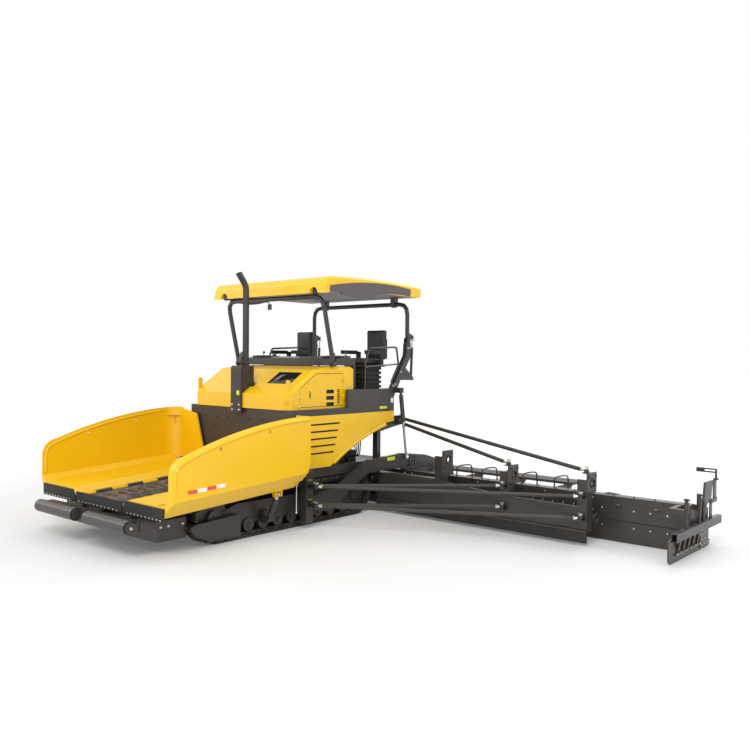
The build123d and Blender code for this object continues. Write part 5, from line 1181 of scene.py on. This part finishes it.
screens = []
for side in (1, -1):
    near, far = (0.635, DESK_TOP + 0.011), (0.705, DESK_TOP + 0.016)
    screens.append(across(side * PANEL_X, 0.10, near, far, 0.002, 1))
hand_over(weld(screens), "panel_screens", "chassis", tinted_glass, "liner_black")
print("buttons", len(button_parts))

# %% [markdown]
# Under the platform, behind the track, the skirts open on the hydraulic valves. A valve block is
# a bored steel billet with a row of solenoids, hex plugs and pipe stubs; bent pipes leave it for
# the conveyor and auger drives.

# %% Valve blocks and pipes
VALVE_STEP, VALVE_FACE, VALVE_TOP, PORT_Z = 0.045, 0.96, 1.03, 0.93
valve_parts = []
pipe_parts = []
for start_y in (0.70, 0.98):
    valve_parts.append(block((0.74, start_y, 0.866), (VALVE_FACE, start_y + 0.20, VALVE_TOP), 0.006))
    for n in range(4):
        foot = (0.78 + n * VALVE_STEP, start_y + 0.07, VALVE_TOP)
        port = Vector((VALVE_FACE, start_y + 0.03 + n * VALVE_STEP, PORT_Z))
        valve_parts += [
            round_bar(foot, beside(foot, 0, 0, 0.075), 0.018, 16),
            round_bar(beside(foot, 0, 0, 0.074), beside(foot, 0, 0, 0.088), 0.011, 6),
            round_bar(port, beside(port, 0.02, 0, 0), 0.015, 6),
        ]
        rise = 0.20 + VALVE_STEP * n
        route = [
            beside(port, 0.015, 0, 0),
            beside(port, 0.07, 0, 0),
            beside(port, 0.10, 0.02, 0.04),
            beside(port, 0.11, 0.03, rise - 0.06),
            beside(port, 0.09, 0.03, rise),
            beside(port, -0.04, 0.03, rise + 0.02),
            beside(port, -0.18, 0.04, rise + 0.02),
            (0.66, port.y + 0.04, PORT_Z + rise + 0.01),
        ]
        pipe_parts.append(bent_tube(route, 0.010))
both_hands(valve_parts, "valve_blocks", CHASSIS, forged_steel, "steel")
both_hands(pipe_parts, "valve_pipes", CHASSIS, sheet_rubber, "rubber")
print("pipes", 2 * len(pipe_parts))

# %% [markdown]
# The rest is small steel: bolts on the bulkhead, the exhaust box, the hood, the masts and the
# skirts, and the hub caps of the road rollers, which show between the track and the guard.

# %% Remaining bolts and hub caps
BULKHEAD_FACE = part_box("bulkhead")[0][1]
bulkhead_spots = grid((0.25, 0.55, 0.85, 1.15), (BULKHEAD_FACE,), (1.60,), FORWARD)
bulkhead_spots += grid((0.60, 1.18), (BULKHEAD_FACE,), (1.05, 1.25, 1.45), FORWARD)
bolts("bulkhead_bolts", "chassis", 0.022, both_ways(bulkhead_spots), *GREY)
exhaust_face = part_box("exhaust_box")[0][1]
exhaust_spots = grid((0.085,), (exhaust_face,), (1.82, 1.74), FORWARD)
bolts("exhaust_bolts", "chassis", 0.026, both_ways(exhaust_spots))
hood_spots = [((1.155, -0.346, 1.961), OUTWARD), ((1.155, -0.345, 1.815), OUTWARD)]
bolts("hood_bolts", "chassis", 0.022, both_ways(hood_spots))
MAST_FACE = 1.208
MAST_PLACES = ((1.84, 2.10), (1.90, 2.13), (2.25, 2.76), (2.31, 2.76), (2.06, 2.34))
mast_spots = [((MAST_FACE, y, z), OUTWARD) for y, z in MAST_PLACES]
bolts("mast_bolts", "chassis", 0.022, both_ways(mast_spots))
skirt_spots = grid((DECK_FACE,), (-0.36, 0.10, 0.56, 1.02, 1.48, 1.79), (1.652,), OUTWARD)
bolts("skirt_bolts", "chassis", 0.018, both_ways(skirt_spots), *BRIGHT_YELLOW)
HUB_FIRST, HUB_STEP, HUB_Z = -1.62, 0.28125, 0.1753
caps = []
for n in range(9):
    y = HUB_FIRST + n * HUB_STEP
    caps.append(ring((1.172, y, HUB_Z), OUTWARD, 0.045, 0.018, 0.012, 20))
    caps.append(round_bar((1.168, y, HUB_Z), (1.186, y, HUB_Z), 0.017, 12))
both_hands(caps, "roller_caps", CHASSIS, forged_steel, "track_iron")
print("bulkhead face", round(BULKHEAD_FACE, 3))
